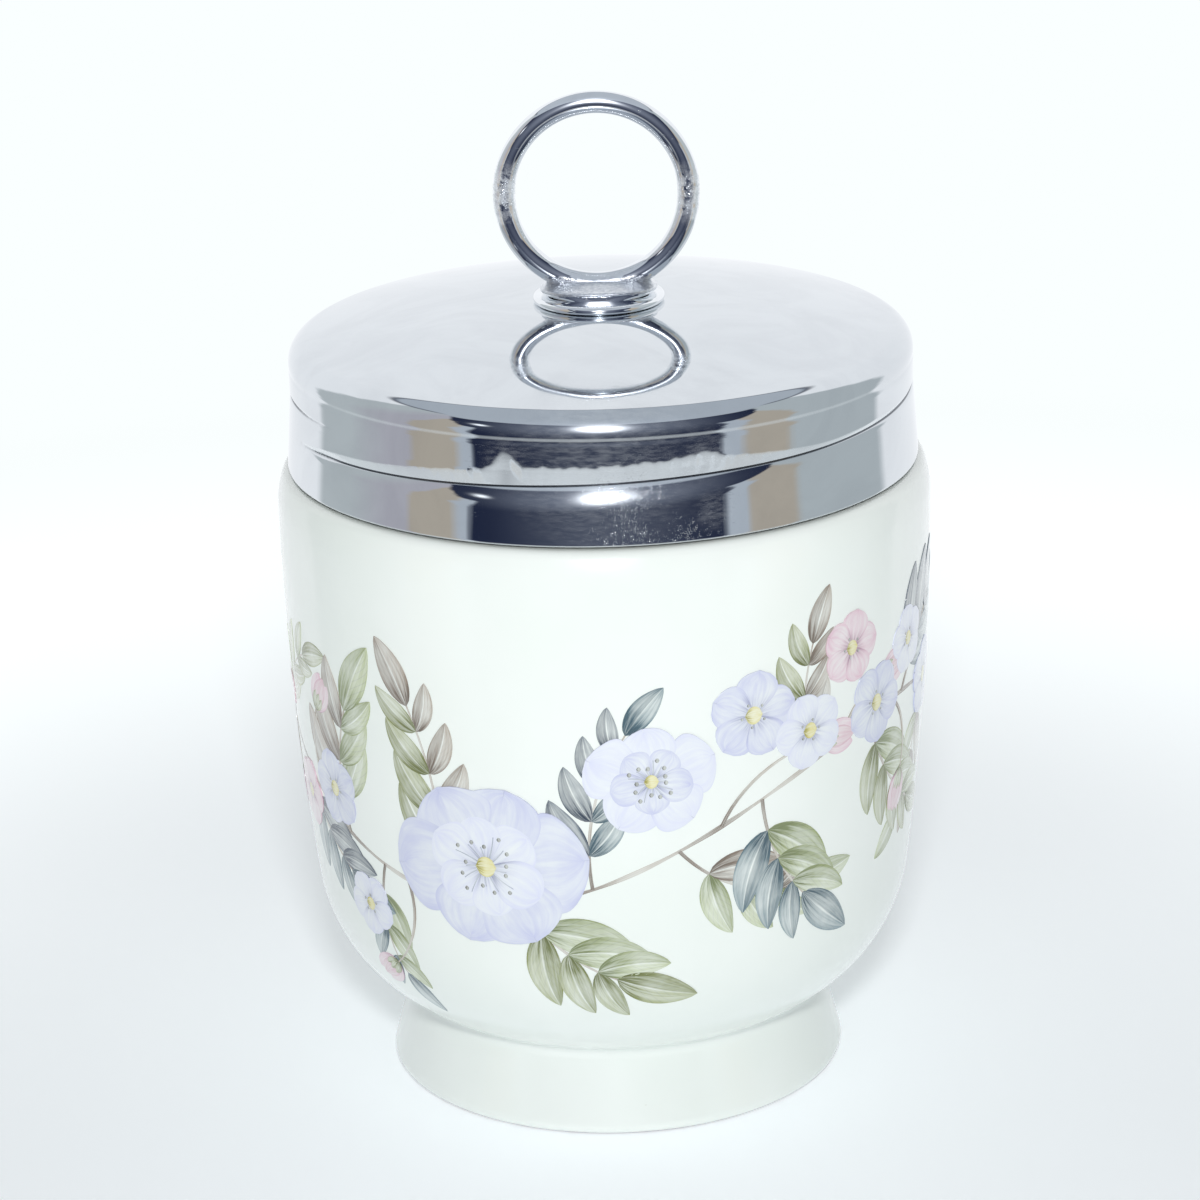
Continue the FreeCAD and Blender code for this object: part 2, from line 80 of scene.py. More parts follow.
def curve_radius(inset, rise):
    """Radius of an arc that begins upright and is set in by inset after rise."""
    return (inset ** 2 + rise ** 2) / (2 * inset)


# Sizes that follow.
RING_CENTRE = RING_TOP - RING_RADIUS - RING_WIRE / 2
SIDE_CURVE = curve_radius(SIDE_INSET, SIDE_DROP)
SIDE_TILT = math.asin(SIDE_DROP / SIDE_CURVE)
BEND_CENTRE_R = BELLY_RADIUS - SIDE_INSET - BEND_CURVE * math.cos(SIDE_TILT)
BEND_CENTRE_Z = FOOT_HEIGHT + math.sqrt(BEND_CURVE ** 2 - (FOOT_WAIST - BEND_CENTRE_R) ** 2)
BEND_HEIGHT = BEND_CENTRE_Z - BEND_CURVE * math.sin(SIDE_TILT)
BELLY_HEIGHT = BEND_HEIGHT + SIDE_DROP
LEDGE_RADIUS = BELLY_RADIUS - SHOULDER_INSET
LEDGE_HEIGHT = BELLY_HEIGHT + SHOULDER_RISE
SHOULDER_CURVE = curve_radius(SHOULDER_INSET, SHOULDER_RISE)
CREASE = LID_BOTTOM + CREASE_RISE
LID_CORNER = LID_TOP - DOME_RADIUS + math.sqrt(
    (DOME_RADIUS - LID_SHOULDER) ** 2 - (LID_RADIUS - LID_SHOULDER - SEAT_RADIUS) ** 2)
HOLE = SHANK_RADIUS + HOLE_PLAY


# ---- Outlines: dense (radius, height) points in millimetres ----
def line(start, end, step):
    """Points from start up to, but without, end."""
    count = max(1, round(math.dist(start, end) / step))
    return [tuple(a + (b - a) * i / count for a, b in zip(start, end)) for i in range(count)]


def arc(start, end, radius, turn, step):
    """Points along the short arc from start up to, but without, end; turn is 1 to the left."""
    start, end = np.array(start, float), np.array(end, float)
    chord = end - start
    length = np.hypot(*chord)
    left = np.array((-chord[1], chord[0])) / length
    centre = (start + end) / 2 + left * turn * math.sqrt(max(radius ** 2 - length ** 2 / 4, 0))
    spread = 2 * math.asin(min(1, length / 2 / radius))
    count = max(2, round(radius * spread / step))
    angles = turn * spread * np.arange(count) / count
    arm = start - centre
    return [tuple(centre + (arm[0] * math.cos(a) - arm[1] * math.sin(a),
                            arm[0] * math.sin(a) + arm[1] * math.cos(a))) for a in angles]


EASE_STEPS = 6


def outline(stretches, closed=False):
    """Points through places in turn. A stretch is (place, cut, step): the corner there is eased over
    its cut, or kept where that is zero, and a straight run leads on in steps, or with a radius and a
    turn added, an arc. An open outline ends with a place alone."""
    points, cuts = [], {}
    for (start, cut, step, *bend), (end, *_) in zip(stretches, stretches[1:] + stretches[:closed]):
        if cut:
            cuts[len(points)] = cut
        points += arc(start, end, *bend, step) if bend else line(start, end, step)
    points = [np.array(p, float) for p in points]
    total = len(points)

    def walk(index, direction, distance):
        """The point that far along the outline, and the last index passed."""
        here, left = index, distance
        while True:
            following = (here + direction) % total if closed else here + direction
            gap = np.hypot(*(points[following] - points[here]))
            if gap >= left:
                return points[here] + (points[following] - points[here]) * left / gap, here
            left -= gap
            here = following

    eased, dropped = {}, set()
    for corner, cut in cuts.items():
        before, first = walk(corner, -1, cut)
        after, last = walk(corner, 1, cut)
        tip = points[corner]
        share = np.arange(EASE_STEPS + 1) / EASE_STEPS
        eased[corner] = [(1 - t) ** 2 * before + 2 * t * (1 - t) * tip + t * t * after for t in share]
        if first > last:
            last += total
        dropped.update(i % total for i in range(first, last + 1))
    result = []
    for index, point in enumerate(points):
        result += eased.get(index, [] if index in dropped else [point])
    if not closed:
        result.append(stretches[-1][0])
    return [tuple(p) for p in result]


# ---- Mesh helpers ----
def smoothstep(low, high, value):
    t = np.clip((value - low) / (high - low), 0, 1)
    return t * t * (3 - 2 * t)


def put(name, data):
    """A new object in the scene."""
    obj = bpy.data.objects.new(name, data)
    bpy.context.scene.collection.objects.link(obj)
    return obj


def new_object(name, vertices, faces, material, smooth_angle=40):
    """A mesh object from millimetre points, with smooth shading and sharp edges kept."""
    mesh = bpy.data.meshes.new(name)
    mesh.from_pydata([tuple(float(c) * MM for c in v) for v in vertices], [], faces)
    mesh.materials.append(material)
    mesh.validate()
    tidy = bmesh.new()
    tidy.from_mesh(mesh)
    bmesh.ops.recalc_face_normals(tidy, faces=tidy.faces)
    for face in tidy.faces:
        face.smooth = True
    for edge in tidy.edges:
        if len(edge.link_faces) == 2:
            edge.smooth = edge.calc_face_angle() < math.radians(smooth_angle)
    tidy.to_mesh(mesh)
    tidy.free()
    obj = put(name, mesh)
    return obj


def set_points(obj, name, kind, key, values):
    """A number, colour or vector at each point, for the material to read."""
    attribute = obj.data.attributes.new(name, kind, "POINT")
    attribute.data.foreach_set(key, np.array(values, dtype=np.float32).ravel())


def even(radius, height, angles):
    """The radii and heights of a plain ring of the mesh."""
    return np.full(len(angles), radius), np.full(len(angles), height)


def lathe(name, profile, material, segments=256, closed=True, shift=even, smooth_angle=40):
    """Turn a profile about the axis. shift(radius, height, angles) gives the radii and heights of
    that point of the profile round the piece."""
    angles = np.arange(segments) * 2 * math.pi / segments
    vertices, rings = [], []
    for radius, height in profile:
        if radius < 1e-6:
            rings.append([len(vertices)])
            vertices.append((0, 0, height))
            continue
        around, up = shift(radius, height, angles)
        rings.append(list(range(len(vertices), len(vertices) + segments)))
        vertices.extend(zip(around * np.cos(angles), around * np.sin(angles), up))
    faces = []
    for lower, upper in zip(rings, rings[1:] + rings[:closed]):
        for i in range(segments):
            j = (i + 1) % segments
            square = (lower, i), (lower, j), (upper, j), (upper, i)
            corners = [ring[k % len(ring)] for ring, k in square]
            # At the axis two corners are one.
            faces.append(tuple(dict.fromkeys(corners)))
    return new_object(name, vertices, faces, material, smooth_angle)


# ---- Node trees ----
def tone(red, green, blue):
    """A colour as seen on a screen, 0 to 255, in the shader's linear numbers."""
    def linear(value):
        value /= 255
        return value / 12.92 if value <= 0.04045 else ((value + 0.055) / 1.055) ** 2.4
    return (linear(red), linear(green), linear(blue), 1.0)


class Wire:
    """A node's output. Arithmetic with wires and numbers adds Math nodes."""

    def __init__(self, nodes, socket):
        self.nodes, self.socket = nodes, socket

    def calculate(self, operation, *others):
        return self.nodes.math(operation, self, *others)

    __add__ = partialmethod(calculate, "ADD")
    __sub__ = partialmethod(calculate, "SUBTRACT")
    __mul__ = partialmethod(calculate, "MULTIPLY")
    __truediv__ = partialmethod(calculate, "DIVIDE")
    __pow__ = partialmethod(calculate, "POWER")
    __abs__ = partialmethod(calculate, "ABSOLUTE")

    def __rsub__(self, other):
        return self.nodes.math("SUBTRACT", other, self)

    def clamped(self):
        """The same Math node, held between 0 and 1."""
        self.socket.node.use_clamp = True
        return self


class Nodes:
    """Short calls for building the node tree of a material, or of the world."""

    def __init__(self, name, kind="materials"):
        self.owner = getattr(bpy.data, kind).new(name)
        self.owner.use_nodes = True
        self.tree = self.owner.node_tree
        self.tree.nodes.clear()

    def add(self, kind, inputs=None, output=0, **settings):
        """A new node's output, by number or name. inputs holds wires, numbers, colours or vectors."""
        node = self.tree.nodes.new(kind)
        for key, value in settings.items():
            setattr(node, key, value)
        for key, value in (inputs or {}).items():
            if isinstance(value, Wire):
                self.tree.links.new(value.socket, node.inputs[key])
            else:
                node.inputs[key].default_value = value
        return Wire(self, node.outputs[output])

    def math(self, operation, *values):
        return self.add("ShaderNodeMath", dict(enumerate(values)), operation=operation)

    def vector(self, operation, *values, output="Vector"):
        return self.add("ShaderNodeVectorMath", dict(enumerate(values)), output, operation=operation)

    def axes(self, vector):
        """The three parts of a vector."""
        split = self.add("ShaderNodeSeparateXYZ", {"Vector": vector}).socket.node
        return [Wire(self, socket) for socket in split.outputs]

    def mix(self, factor, first, second, blend="MIX"):
        return self.add("ShaderNodeMix", {0: factor, 6: first, 7: second}, 2, data_type="RGBA",
                        blend_type=blend)

    def span(self, value, low, high, to_low=0.0, to_high=1.0, smooth=True):
        """Map low..high to to_low..to_high, clamped."""
        return self.add("ShaderNodeMapRange", dict(enumerate((value, low, high, to_low, to_high))),
                        interpolation_type="SMOOTHSTEP" if smooth else "LINEAR")

    def noise(self, where, scale, detail=2.0, roughness=0.5, distortion=0.0):
        return self.add("ShaderNodeTexNoise", {"Vector": where, "Scale": scale, "Detail": detail,
                                               "Roughness": roughness, "Distortion": distortion}, "Fac")

    def ramp(self, value, stops):
        """A colour ramp through (place, colour) stops."""
        colour = self.add("ShaderNodeValToRGB", {"Fac": value}, "Color")
        elements = colour.socket.node.color_ramp.elements
        while len(elements) < len(stops):
            elements.new(0.5)
        for element, (place, tint) in zip(elements, stops):
            element.position = place
            element.color = tint
        return colour

    def place(self):
        return self.add("ShaderNodeTexCoord", output="Object")

    def attribute(self, name, output):
        return self.add("ShaderNodeAttribute", output=output, attribute_name=name)

    def ray(self, kind):
        """1 for rays of that kind, such as Camera or Glossy, and 0 for others."""
        return self.add("ShaderNodeLightPath", output=f"Is {kind} Ray")

    def finish(self, shader, kind="ShaderNodeOutputMaterial"):
        self.tree.links.new(shader.socket, self.tree.nodes.new(kind).inputs["Surface"])
        return self.owner


# ---- Glaze and print ----
GLAZE = tone(236, 241, 237)
OLIVE, SAGE, TEAL = tone(146, 154, 88), tone(168, 180, 122), tone(88, 120, 132)
TAUPE, SLATE = tone(158, 140, 122), tone(66, 84, 104)
LILAC, PALE_LILAC, DEEP_LILAC = tone(176, 180, 222), tone(204, 207, 236), tone(96, 108, 146)
ROSE, PALE_ROSE = tone(196, 116, 150), tone(214, 158, 184)
STEM, YELLOW, DOT = tone(150, 128, 108), tone(214, 202, 96), tone(92, 92, 84)


def glazed(nodes, colour, bare=0.0):
    """The same clear glaze over white body and print, with faint waves where it ran a little in the
    kiln. bare is 1 where there is none, which leaves the piece rougher."""
    where = nodes.place()
    waves = nodes.add("ShaderNodeBump", {
        "Height": nodes.noise(where, 55, 1.0), "Strength": 0.1, "Distance": 0.6 * MM})
    roughness = nodes.span(nodes.noise(where, 140, 3.0), 0.3, 0.7, 0.16, 0.24)
    return nodes.add("ShaderNodeBsdfPrincipled", {
        "Base Color": colour, "Roughness": roughness + bare * 0.5, "IOR": 1.5, "Coat Weight": 0.6,
        "Coat Roughness": 0.06, "Coat IOR": 1.5, "Normal": waves})


def porcelain():
    """Glazed white porcelain; the ring that stands on the table is bare and a little greyed."""
    nodes = Nodes("porcelain")
    where = nodes.place()
    cloud = nodes.span(nodes.noise(where, 60, 3.0), 0.35, 0.65)
    body = nodes.mix(cloud, GLAZE, tone(233, 239, 234))
    specks = nodes.span(nodes.noise(where, 900, 1.0), 0.83, 0.86)
    body = nodes.mix(specks * 0.25, body, tone(170, 170, 150))
    height = nodes.axes(where)[2] + nodes.noise(where, 300) * (0.25 * MM)
    bare = nodes.span(height, 0.42 * MM, 0.22 * MM)
    body = nodes.mix(bare * 0.75, body, tone(172, 160, 165))
    return nodes.finish(glazed(nodes, body, bare))


def printed(name, strength, veins=False):
    """Enamel under the same glaze: each motif's own tint, washed out unevenly like watercolour, with
    streaks along it, a darker rim and, on leaves, a pale midrib and side veins."""
    nodes = Nodes(name)
    tint = nodes.attribute("tint", "Color")
    along, across, seed = nodes.axes(nodes.attribute("motif", "Vector"))
    off = abs(across * 2.0 - 1.0)
    fibre = nodes.add("ShaderNodeCombineXYZ", {"X": across * 11.0, "Y": along * 1.6, "Z": seed * 37.0})
    streaks = nodes.span(nodes.noise(fibre, 1.0, 3.0, 0.6), 0.3, 0.7)
    wash = nodes.span(nodes.noise(nodes.place(), 330, 3.0), 0.32, 0.68)
    rim = nodes.math("MAXIMUM", off, along) ** 7.0
    heart = nodes.span(along, 0.55, 0.0) * (streaks + 0.45)
    ink = streaks * 0.3 + wash * 0.22 + rim * 0.3 + heart * 0.45 + 0.28
    dark = nodes.mix(0.62, tint, SLATE, "MULTIPLY")
    shade = nodes.mix((heart * 0.85).clamped(), tint, dark)
    if veins:
        half = nodes.span(across, 0.47, 0.53)
        line_off = abs(nodes.math("FRACT", along * 8.0 - off * 2.6) - 0.5)
        side_veins = nodes.span(line_off, 0.12, 0.0) * 0.45
        midrib = nodes.span(off, 0.09, 0.02)
        shade = nodes.mix(half * 0.45, shade, dark)
        shade = nodes.mix(side_veins, shade, nodes.mix(0.8, tint, SLATE, "MULTIPLY"))
        ink += half * 0.16
        ink -= midrib * 0.35
    ink = (ink * strength).clamped()
    return nodes.finish(glazed(nodes, nodes.mix(ink, GLAZE, shade)))


# ---- Chrome ----
class Chrome(Nodes):
    """Chrome plate with soft smears and fine scratches. Each call after that adds one kind of wear or
    painted shade, and done() finishes it. Places are (spot, reach) in millimetres."""

    def __init__(self, name, colour, roughness, scratches):
        super().__init__(name)
        self.where = self.place()
        smear = self.span(self.noise(self.where, 90, 4.0, 0.6, 1.5), 0.35, 0.7)
        self.rough = self.span(smear, 0, 1, roughness, roughness * 1.9)
        self.colour = self.mix(smear * 0.12, colour, tone(150, 152, 160))
        stretched = self.add("ShaderNodeMapping", {"Vector": self.where, "Scale": (1.0, 1.0, 14.0),
                                                   "Rotation": (0.25, 0.4, 0.0)})
        self.height = self.span(self.noise(stretched, 900, 2.0, 0.7), 0.68, 0.76) * -scratches
        self.metal = 1.0

    def around(self, places):
        """1 at the spots, fading to 0 at their reach."""
        nearest = 0.0
        for spot, reach in places:
            away = self.vector("DISTANCE", self.where, [c * MM for c in spot], output="Value")
            nearest = self.math("MAXIMUM", nearest, self.span(away, reach * MM, reach * 0.1 * MM))
        return nearest

    def pit(self, places):
        """Small round pits in clusters."""
        reach = self.around(places)
        cells = self.add("ShaderNodeTexVoronoi", {"Vector": self.where, "Scale": 9500.0}, "Distance")
        clusters = self.noise(self.where, 2400, 3.0, 0.7) - (reach * -0.21 + 0.65)
        pits = self.span(cells, 0.45, 0.2) * self.span(clusters, 0.0, 0.12) * reach
        self.height -= pits * 0.4
        self.rough += pits * 0.2

    def rub(self, places, grain):
        """Plate worn matt in specks."""
        patch = self.around(places) * self.span(self.noise(self.where, 1500, 4.0, 0.65), 0.36, 0.62)
        self.height += self.noise(self.where, 3400, 3.0, 0.65) * patch * grain
        self.rough += patch * 0.16
        self.colour = self.mix(patch, self.colour, tone(238, 243, 248))
        self.metal = 1.0 - patch * 0.5

    def dust(self, places):
        """Fine scratches that take up light like a thin dust."""
        rubbed = self.add("ShaderNodeMapping", {"Vector": self.where, "Scale": (1.0, 1.0, 4.0)})
        dust = self.span(self.noise(rubbed, 900, 4.0, 0.65), 0.3, 0.75)
        self.metal = 1.0 - self.around(places) * dust * 0.13

    def crease_shade(self):
        """Painted shade: a dark line where the mesh's crease_shade attribute says, with the plate a
        little rougher there.
        """
        crease_shade = self.attribute("crease_shade", "Fac")
        # Painted shade: the colour is taken towards dark blue-grey along the crease.
        self.colour = self.mix(crease_shade * 0.8, self.colour, tone(62, 66, 76))
        self.rough += crease_shade * 0.25

    def leave_cast(self, low, high):
        """The casting left rough between two heights."""
        level = self.axes(self.where)[2] + self.noise(self.where, 500, 2.0) * (0.6 * MM)
        raw = self.span(level, high * MM, (high - 0.4) * MM)
        raw *= self.span(level, low * MM, (low + 0.2) * MM)
        lumps = self.noise(self.where, 2600, 4.0, 0.6)
        self.height += lumps * raw * 3.5
        self.colour = self.mix(raw * self.span(lumps, 0.3, 0.7), self.colour, tone(206, 210, 216))
        self.rough += raw * 0.26

    def done(self, waves):
        """The material, with slow waves under all the rest."""
        fine = self.add("ShaderNodeBump", {"Height": self.height, "Strength": 0.5,
                                           "Distance": 0.04 * MM})
        slow = self.add("ShaderNodeBump", {"Height": self.noise(self.where, 130, 1.0, 0.4),
                                           "Strength": waves, "Distance": 0.1 * MM, "Normal": fine})
        return self.finish(self.add("ShaderNodeBsdfPrincipled", {
            "Base Color": self.colour, "Metallic": self.metal, "Roughness": self.rough,
            "Normal": slow}))


def lid_chrome():
    """Pitted round the front of the lower band, dusty round the front of the upper band, with painted
    shade along the crease.
    """
    plate = Chrome("lid_chrome", (0.7, 0.73, 0.755, 1), 0.03, 0.03)
    front, low_band, upper_band = -LID_RADIUS, LID_BOTTOM + 0.4, LID_CORNER - 2.2
    plate.pit([((2, front, low_band - 0.5), 8.5), ((7, front * 0.96, low_band), 5),
               ((2, front, CREASE), 7)])
    plate.dust([((-8.4, front * 0.95, upper_band), 3.2), ((8.6, front * 0.95, upper_band), 3.6),
                ((0, front, upper_band), 11), ((9.6, front * 0.95, LID_BOTTOM + 2.7), 2.6)])
    # Painted shade: a dark line along the thread's crease.
    plate.crease_shade()
    return plate.done(waves=0.45)


def ring_chrome():
    """Worn at both sides of the ring, and rough from the casting where the foot meets it."""
    plate = Chrome("ring_chrome", (0.86, 0.88, 0.9, 1), 0.03, 0.1)
    side = RING_RADIUS + 0.25
    plate.rub([((-side, -0.9, RING_CENTRE + 0.4), 3.6), ((side * 0.97, -0.9, RING_CENTRE), 3.4),
               ((-side, 0.9, RING_CENTRE - 1), 3), ((side, 0.9, RING_CENTRE + 1), 3)], grain=3.0)
    plate.leave_cast(COLLAR_TOP + PAD_RISE + PAD_EDGE, RING_CENTRE - RING_RADIUS + 1.2)
    return plate.done(waves=0.9)


def washer_chrome():
    return Chrome("washer_chrome", (0.58, 0.6, 0.61, 1), 0.2, 0.8).done(waves=0.3)


# ---- Cup ----
NECK_THREAD_CREST, NECK_THREAD_FOOT = 0.25, 0.85


def thread_starts(angles, height, first_height):
    """For each start of the thread: distance above its helix, how far it has faded in, and degrees
    along it. angles are in radians."""
    result = []
    for start in range(THREAD_STARTS):
        begin = THREAD_ANGLE + 360 * start / THREAD_STARTS
        along = (np.degrees(angles) - begin) % 360
        fade = smoothstep(0, THREAD_FADE, along)
        fade = fade * (1 - smoothstep(THREAD_SWEEP - THREAD_FADE, THREAD_SWEEP, along))
        result.append((height - first_height - THREAD_LEAD * along / 360, fade, along))
    return result


def neck_thread(radius, height, angles):
    """The neck with its raised thread; all else of the cup is plain."""
    around, up = even(radius, height, angles)
    if abs(radius - NECK_RADIUS) > 0.01 or height < LEDGE_HEIGHT + 0.5:
        return around, up
    for above, fade, _ in thread_starts(angles, up, CREASE + THREAD_LEAD / THREAD_STARTS / 2):
        crest = 1 - smoothstep(NECK_THREAD_CREST, NECK_THREAD_FOOT, np.abs(above))
        around = around + NECK_THREAD * fade * crest
    return around, up


def outer_side(foot_cut=0):
    """Stretches of the bowl outside: bottom bend, side and shoulder, up to the ledge."""
    return [
        ((FOOT_WAIST, FOOT_HEIGHT), foot_cut, 0.4, BEND_CURVE, 1),
        ((BELLY_RADIUS - SIDE_INSET, BEND_HEIGHT), 0, 0.8, SIDE_CURVE, 1),
        ((BELLY_RADIUS, BELLY_HEIGHT), 0, 0.25, SHOULDER_CURVE, 1),
        ((LEDGE_RADIUS, LEDGE_HEIGHT), 0.7, 0.3),
    ]


def cup_profile():
    foot_radius = FOOT_WAIST + FOOT_SPREAD
    foot_inner = foot_radius - FOOT_RING
    recess_radius = foot_inner - RECESS_DRAFT
    inner_bend = BEND_CURVE - WALL
    floor_height = BEND_CENTRE_Z - inner_bend - FLOOR_DISH
    recess_height = floor_height - FOOT_FLOOR
    inner_side = (BEND_CENTRE_R + inner_bend * math.cos(SIDE_TILT),
                  BEND_CENTRE_Z - inner_bend * math.sin(SIDE_TILT))
    throat_top = (MOUTH_RADIUS, RIM_HEIGHT - MOUTH_DEPTH)
    inner_belly = (BELLY_RADIUS - WALL, throat_top[1] - THROAT_DROP)
    throat_mid = tuple((a + b) / 2 for a, b in zip(throat_top, inner_belly))
    throat_curve = curve_radius(inner_belly[0] - throat_top[0], THROAT_DROP) / 2
    inner_curve = curve_radius(inner_belly[0] - inner_side[0], inner_belly[1] - inner_side[1])
    dish_sink = inner_bend + FLOOR_DISH
    dish_curve = (BEND_CENTRE_R ** 2 + dish_sink ** 2 - inner_bend ** 2) / (2 * FLOOR_DISH)
    share = dish_curve / (dish_curve - inner_bend)
    dish_edge = (BEND_CENTRE_R * share, floor_height + dish_curve + (dish_sink - dish_curve) * share)
    return outline([
        ((0, recess_height), 0, 1.2),
        ((recess_radius, recess_height), 1.4, 0.6),
        ((foot_inner, 0), 0.5, 0.4),
        ((foot_radius, 0), 1.0, 0.3),
        *outer_side(foot_cut=1.0),
        ((NECK_RADIUS, LEDGE_HEIGHT), 0.5, 0.14),
        ((NECK_RADIUS, RIM_HEIGHT), 1.3, 0.3),
        ((MOUTH_RADIUS, RIM_HEIGHT), 1.6, 0.6),
        (throat_top, 0, 0.4, throat_curve, 1),
        (throat_mid, 0, 0.4, throat_curve, -1),
        (inner_belly, 0, 1.0, inner_curve, -1),
        (inner_side, 0, 0.5, inner_bend, -1),
        (dish_edge, 0, 1.2, dish_curve, -1),
        ((0, floor_height),),
    ])


def make_cup(material):
    cup = lathe("porcelain_cup", cup_profile(), material, closed=False, shift=neck_thread,
                smooth_angle=60)
    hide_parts("cup")
    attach(cup, "cup")


# ---- Garland: painted motifs, each a thin curved plate that lies on the glaze ----
# A place on the glaze is (x, v): millimetres round the bowl from the front, rightwards positive, at
# PRINT_RADIUS, and millimetres up the bowl's outline from the crease above the foot.
PRINT_RADIUS = 30.0
PRINT_TURN = 2 * math.pi * PRINT_RADIUS
PRINT_LIFT, PRINT_LAYER, PRINT_SINK = 0.012, 0.0016, 0.03
SLOPE_STEP = 0.2
VINE_HEIGHT, VINE_SWING, VINE_START = 29, 7.5, 14

# Sprays that leave the stem: x, direction, length, pairs of leaves, curl.
SPRIGS = [
    (-44, 72, 12, 3, -50), (-37, -68, 11, 3, 40), (-29, 104, 13, 3, -38), (-24, -110, 12, 3, 45),
    (-17, 80, 19, 4, 34), (-9, -58, 12, 3, 36), (-2, 98, 16, 4, -40), (6, -50, 14, 3, 50),
    (14, -84, 12, 3, 38), (19, 104, 12, 3, -30), (27, -72, 15, 4, 44), (33, 62, 11, 3, -44),
    (39, -96, 13, 3, -36)]
GREENS = [(OLIVE, SAGE), (TEAL, SLATE), (SAGE, TAUPE), (TEAL, SAGE), (TAUPE, OLIVE)]
# Pink buds: x, direction, length.
BELLS = [(-47, -40, 8), (-33, 128, 10), (-21, -74, 11), (10, 66, 13), (23, 74, 8), (31, -36, 9),
         (43, 44, 8)]
BELL_SIZE = 4.2
# Small flowers: x, height over the stem, size, direction, tint.
FLORETS = [
    (13, 9, 4.3, 10, LILAC), (19, 3.5, 3.8, 40, PALE_LILAC), (24, 8.5, 3.6, 5, PALE_ROSE),
    (28, 1, 4.1, 60, LILAC), (34, 5, 3.4, 30, PALE_LILAC), (40, 0, 3.9, 15, LILAC),
    (-31, 3, 3.9, 30, LILAC), (-38, -3, 3.5, 0, PALE_ROSE), (-27, -6, 3.3, 50, PALE_LILAC)]
# Open flowers: x, v, size, petals, direction, outer and inner tint.
BLOOMS = [(3.5, 34.5, 6.6, 5, 20, PALE_LILAC, LILAC), (-12, 25.5, 10.2, 6, 8, LILAC, PALE_LILAC)]
# The garland runs twice round the bowl, front and back: shift and scale.
RUNS = [(0, 1.0), (PRINT_TURN / 2, 0.88)]
# First layer of each kind. Three neighbours, which may overlap, lie a step apart.
SPRIG_LAYER, SPRIG_STEP, BELL_LAYER, FLORET_LAYER, FLORET_STEP, BLOOM_LAYER = 2, 10, 32, 40, 7, 61
NEIGHBOURS = 3


def bowl_outline():
    """The bowl's outer side as lengths, radii and heights of its points."""
    points = np.array(outline(outer_side()))
    steps = np.hypot(*np.diff(points, axis=0).T)
    return np.concatenate([[0], np.cumsum(steps)]), points[:, 0], points[:, 1]


BOWL = bowl_outline()


def on_glaze(places, lift):
    """Points in space for places on the glaze, lifted off it."""
    length, radii, heights = BOWL
    turn = places[..., 0] / PRINT_RADIUS
    v = places[..., 1]
    radius, height = np.interp(v, length, radii), np.interp(v, length, heights)
    low, high = v - SLOPE_STEP, v + SLOPE_STEP
    out = np.interp(high, length, heights) - np.interp(low, length, heights)
    up = np.interp(low, length, radii) - np.interp(high, length, radii)
    size = np.hypot(out, up)
    radius, height = radius + lift * out / size, height + lift * up / size
    return np.stack([radius * np.sin(turn), -radius * np.cos(turn), height], -1)


class Print:
    """One material's motifs, gathered into one mesh. Each plate lies one layer over the one before
    it, whichever mesh that is in, until layer is set anew."""
    layer = plates = 0

    def __init__(self, name, *look):
        self.name, self.material = name, printed(name, *look)
        self.vertices, self.faces, self.tints, self.motifs = [], [], [], []

    def plate(self, middle, angle, half, side, share, tint):
        """A closed plate about a path that heads in the given angles. Rows of places run along it at
        share, 0 to 1, and side, -1 to 1, of its half width across."""
        normal = np.stack([-np.sin(angle), np.cos(angle)], -1)
        grid = middle + normal * (half[:, None] * side)[..., None]
        rows, columns = grid.shape[:2]
        lift = PRINT_LIFT + PRINT_LAYER * Print.layer
        Print.layer += 1
        Print.plates += 1
        first = len(self.vertices)
        for depth in (lift, -PRINT_SINK):
            self.vertices += [*on_glaze(grid, depth).reshape(-1, 3)]
        seed = (Print.plates * 0.618) % 1
        places = np.stack(np.broadcast_arrays(share[:, None], (side + 1) / 2, seed), -1).reshape(-1, 3)
        self.motifs += [*places, *places]
        self.tints += [tint] * (2 * rows * columns)
        top, sunk = first + np.arange(2 * rows * columns).reshape(2, rows, columns)
        for i in range(rows - 1):
            for k in range(columns - 1):
                square = [(i, k), (i, k + 1), (i + 1, k + 1), (i + 1, k)]
                self.faces.append([top[place] for place in square])
                self.faces.append([sunk[place] for place in reversed(square)])
        edge = [(0, k) for k in range(columns)] + [(i, columns - 1) for i in range(1, rows)]
        edge += [(rows - 1, k) for k in reversed(range(columns - 1))]
        edge += [(i, 0) for i in reversed(range(1, rows - 1))]
        for here, following in zip(edge, edge[1:] + edge[:1]):
            self.faces.append([top[following], top[here], sunk[here], sunk[following]])

    def finish(self):
        obj = new_object(self.name, self.vertices, self.faces, self.material, 50)
        set_points(obj, "tint", "FLOAT_COLOR", "color", self.tints)
        set_points(obj, "motif", "FLOAT_VECTOR", "vector", self.motifs)
        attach(obj, "cup")


def swept(start, turn, length, curl, share):
    """Places along a path that sets out in a direction and curls evenly; angles in degrees."""
    turn, curl = math.radians(turn), math.radians(curl)
    angle = turn + curl * share
    if abs(curl) < 1e-6:
        steps = np.stack([share * math.cos(turn), share * math.sin(turn)], -1)
    else:
        steps = np.stack([np.sin(angle) - math.sin(turn), math.cos(turn) - np.cos(angle)], -1) / curl
    return np.array(start) + length * steps, angle


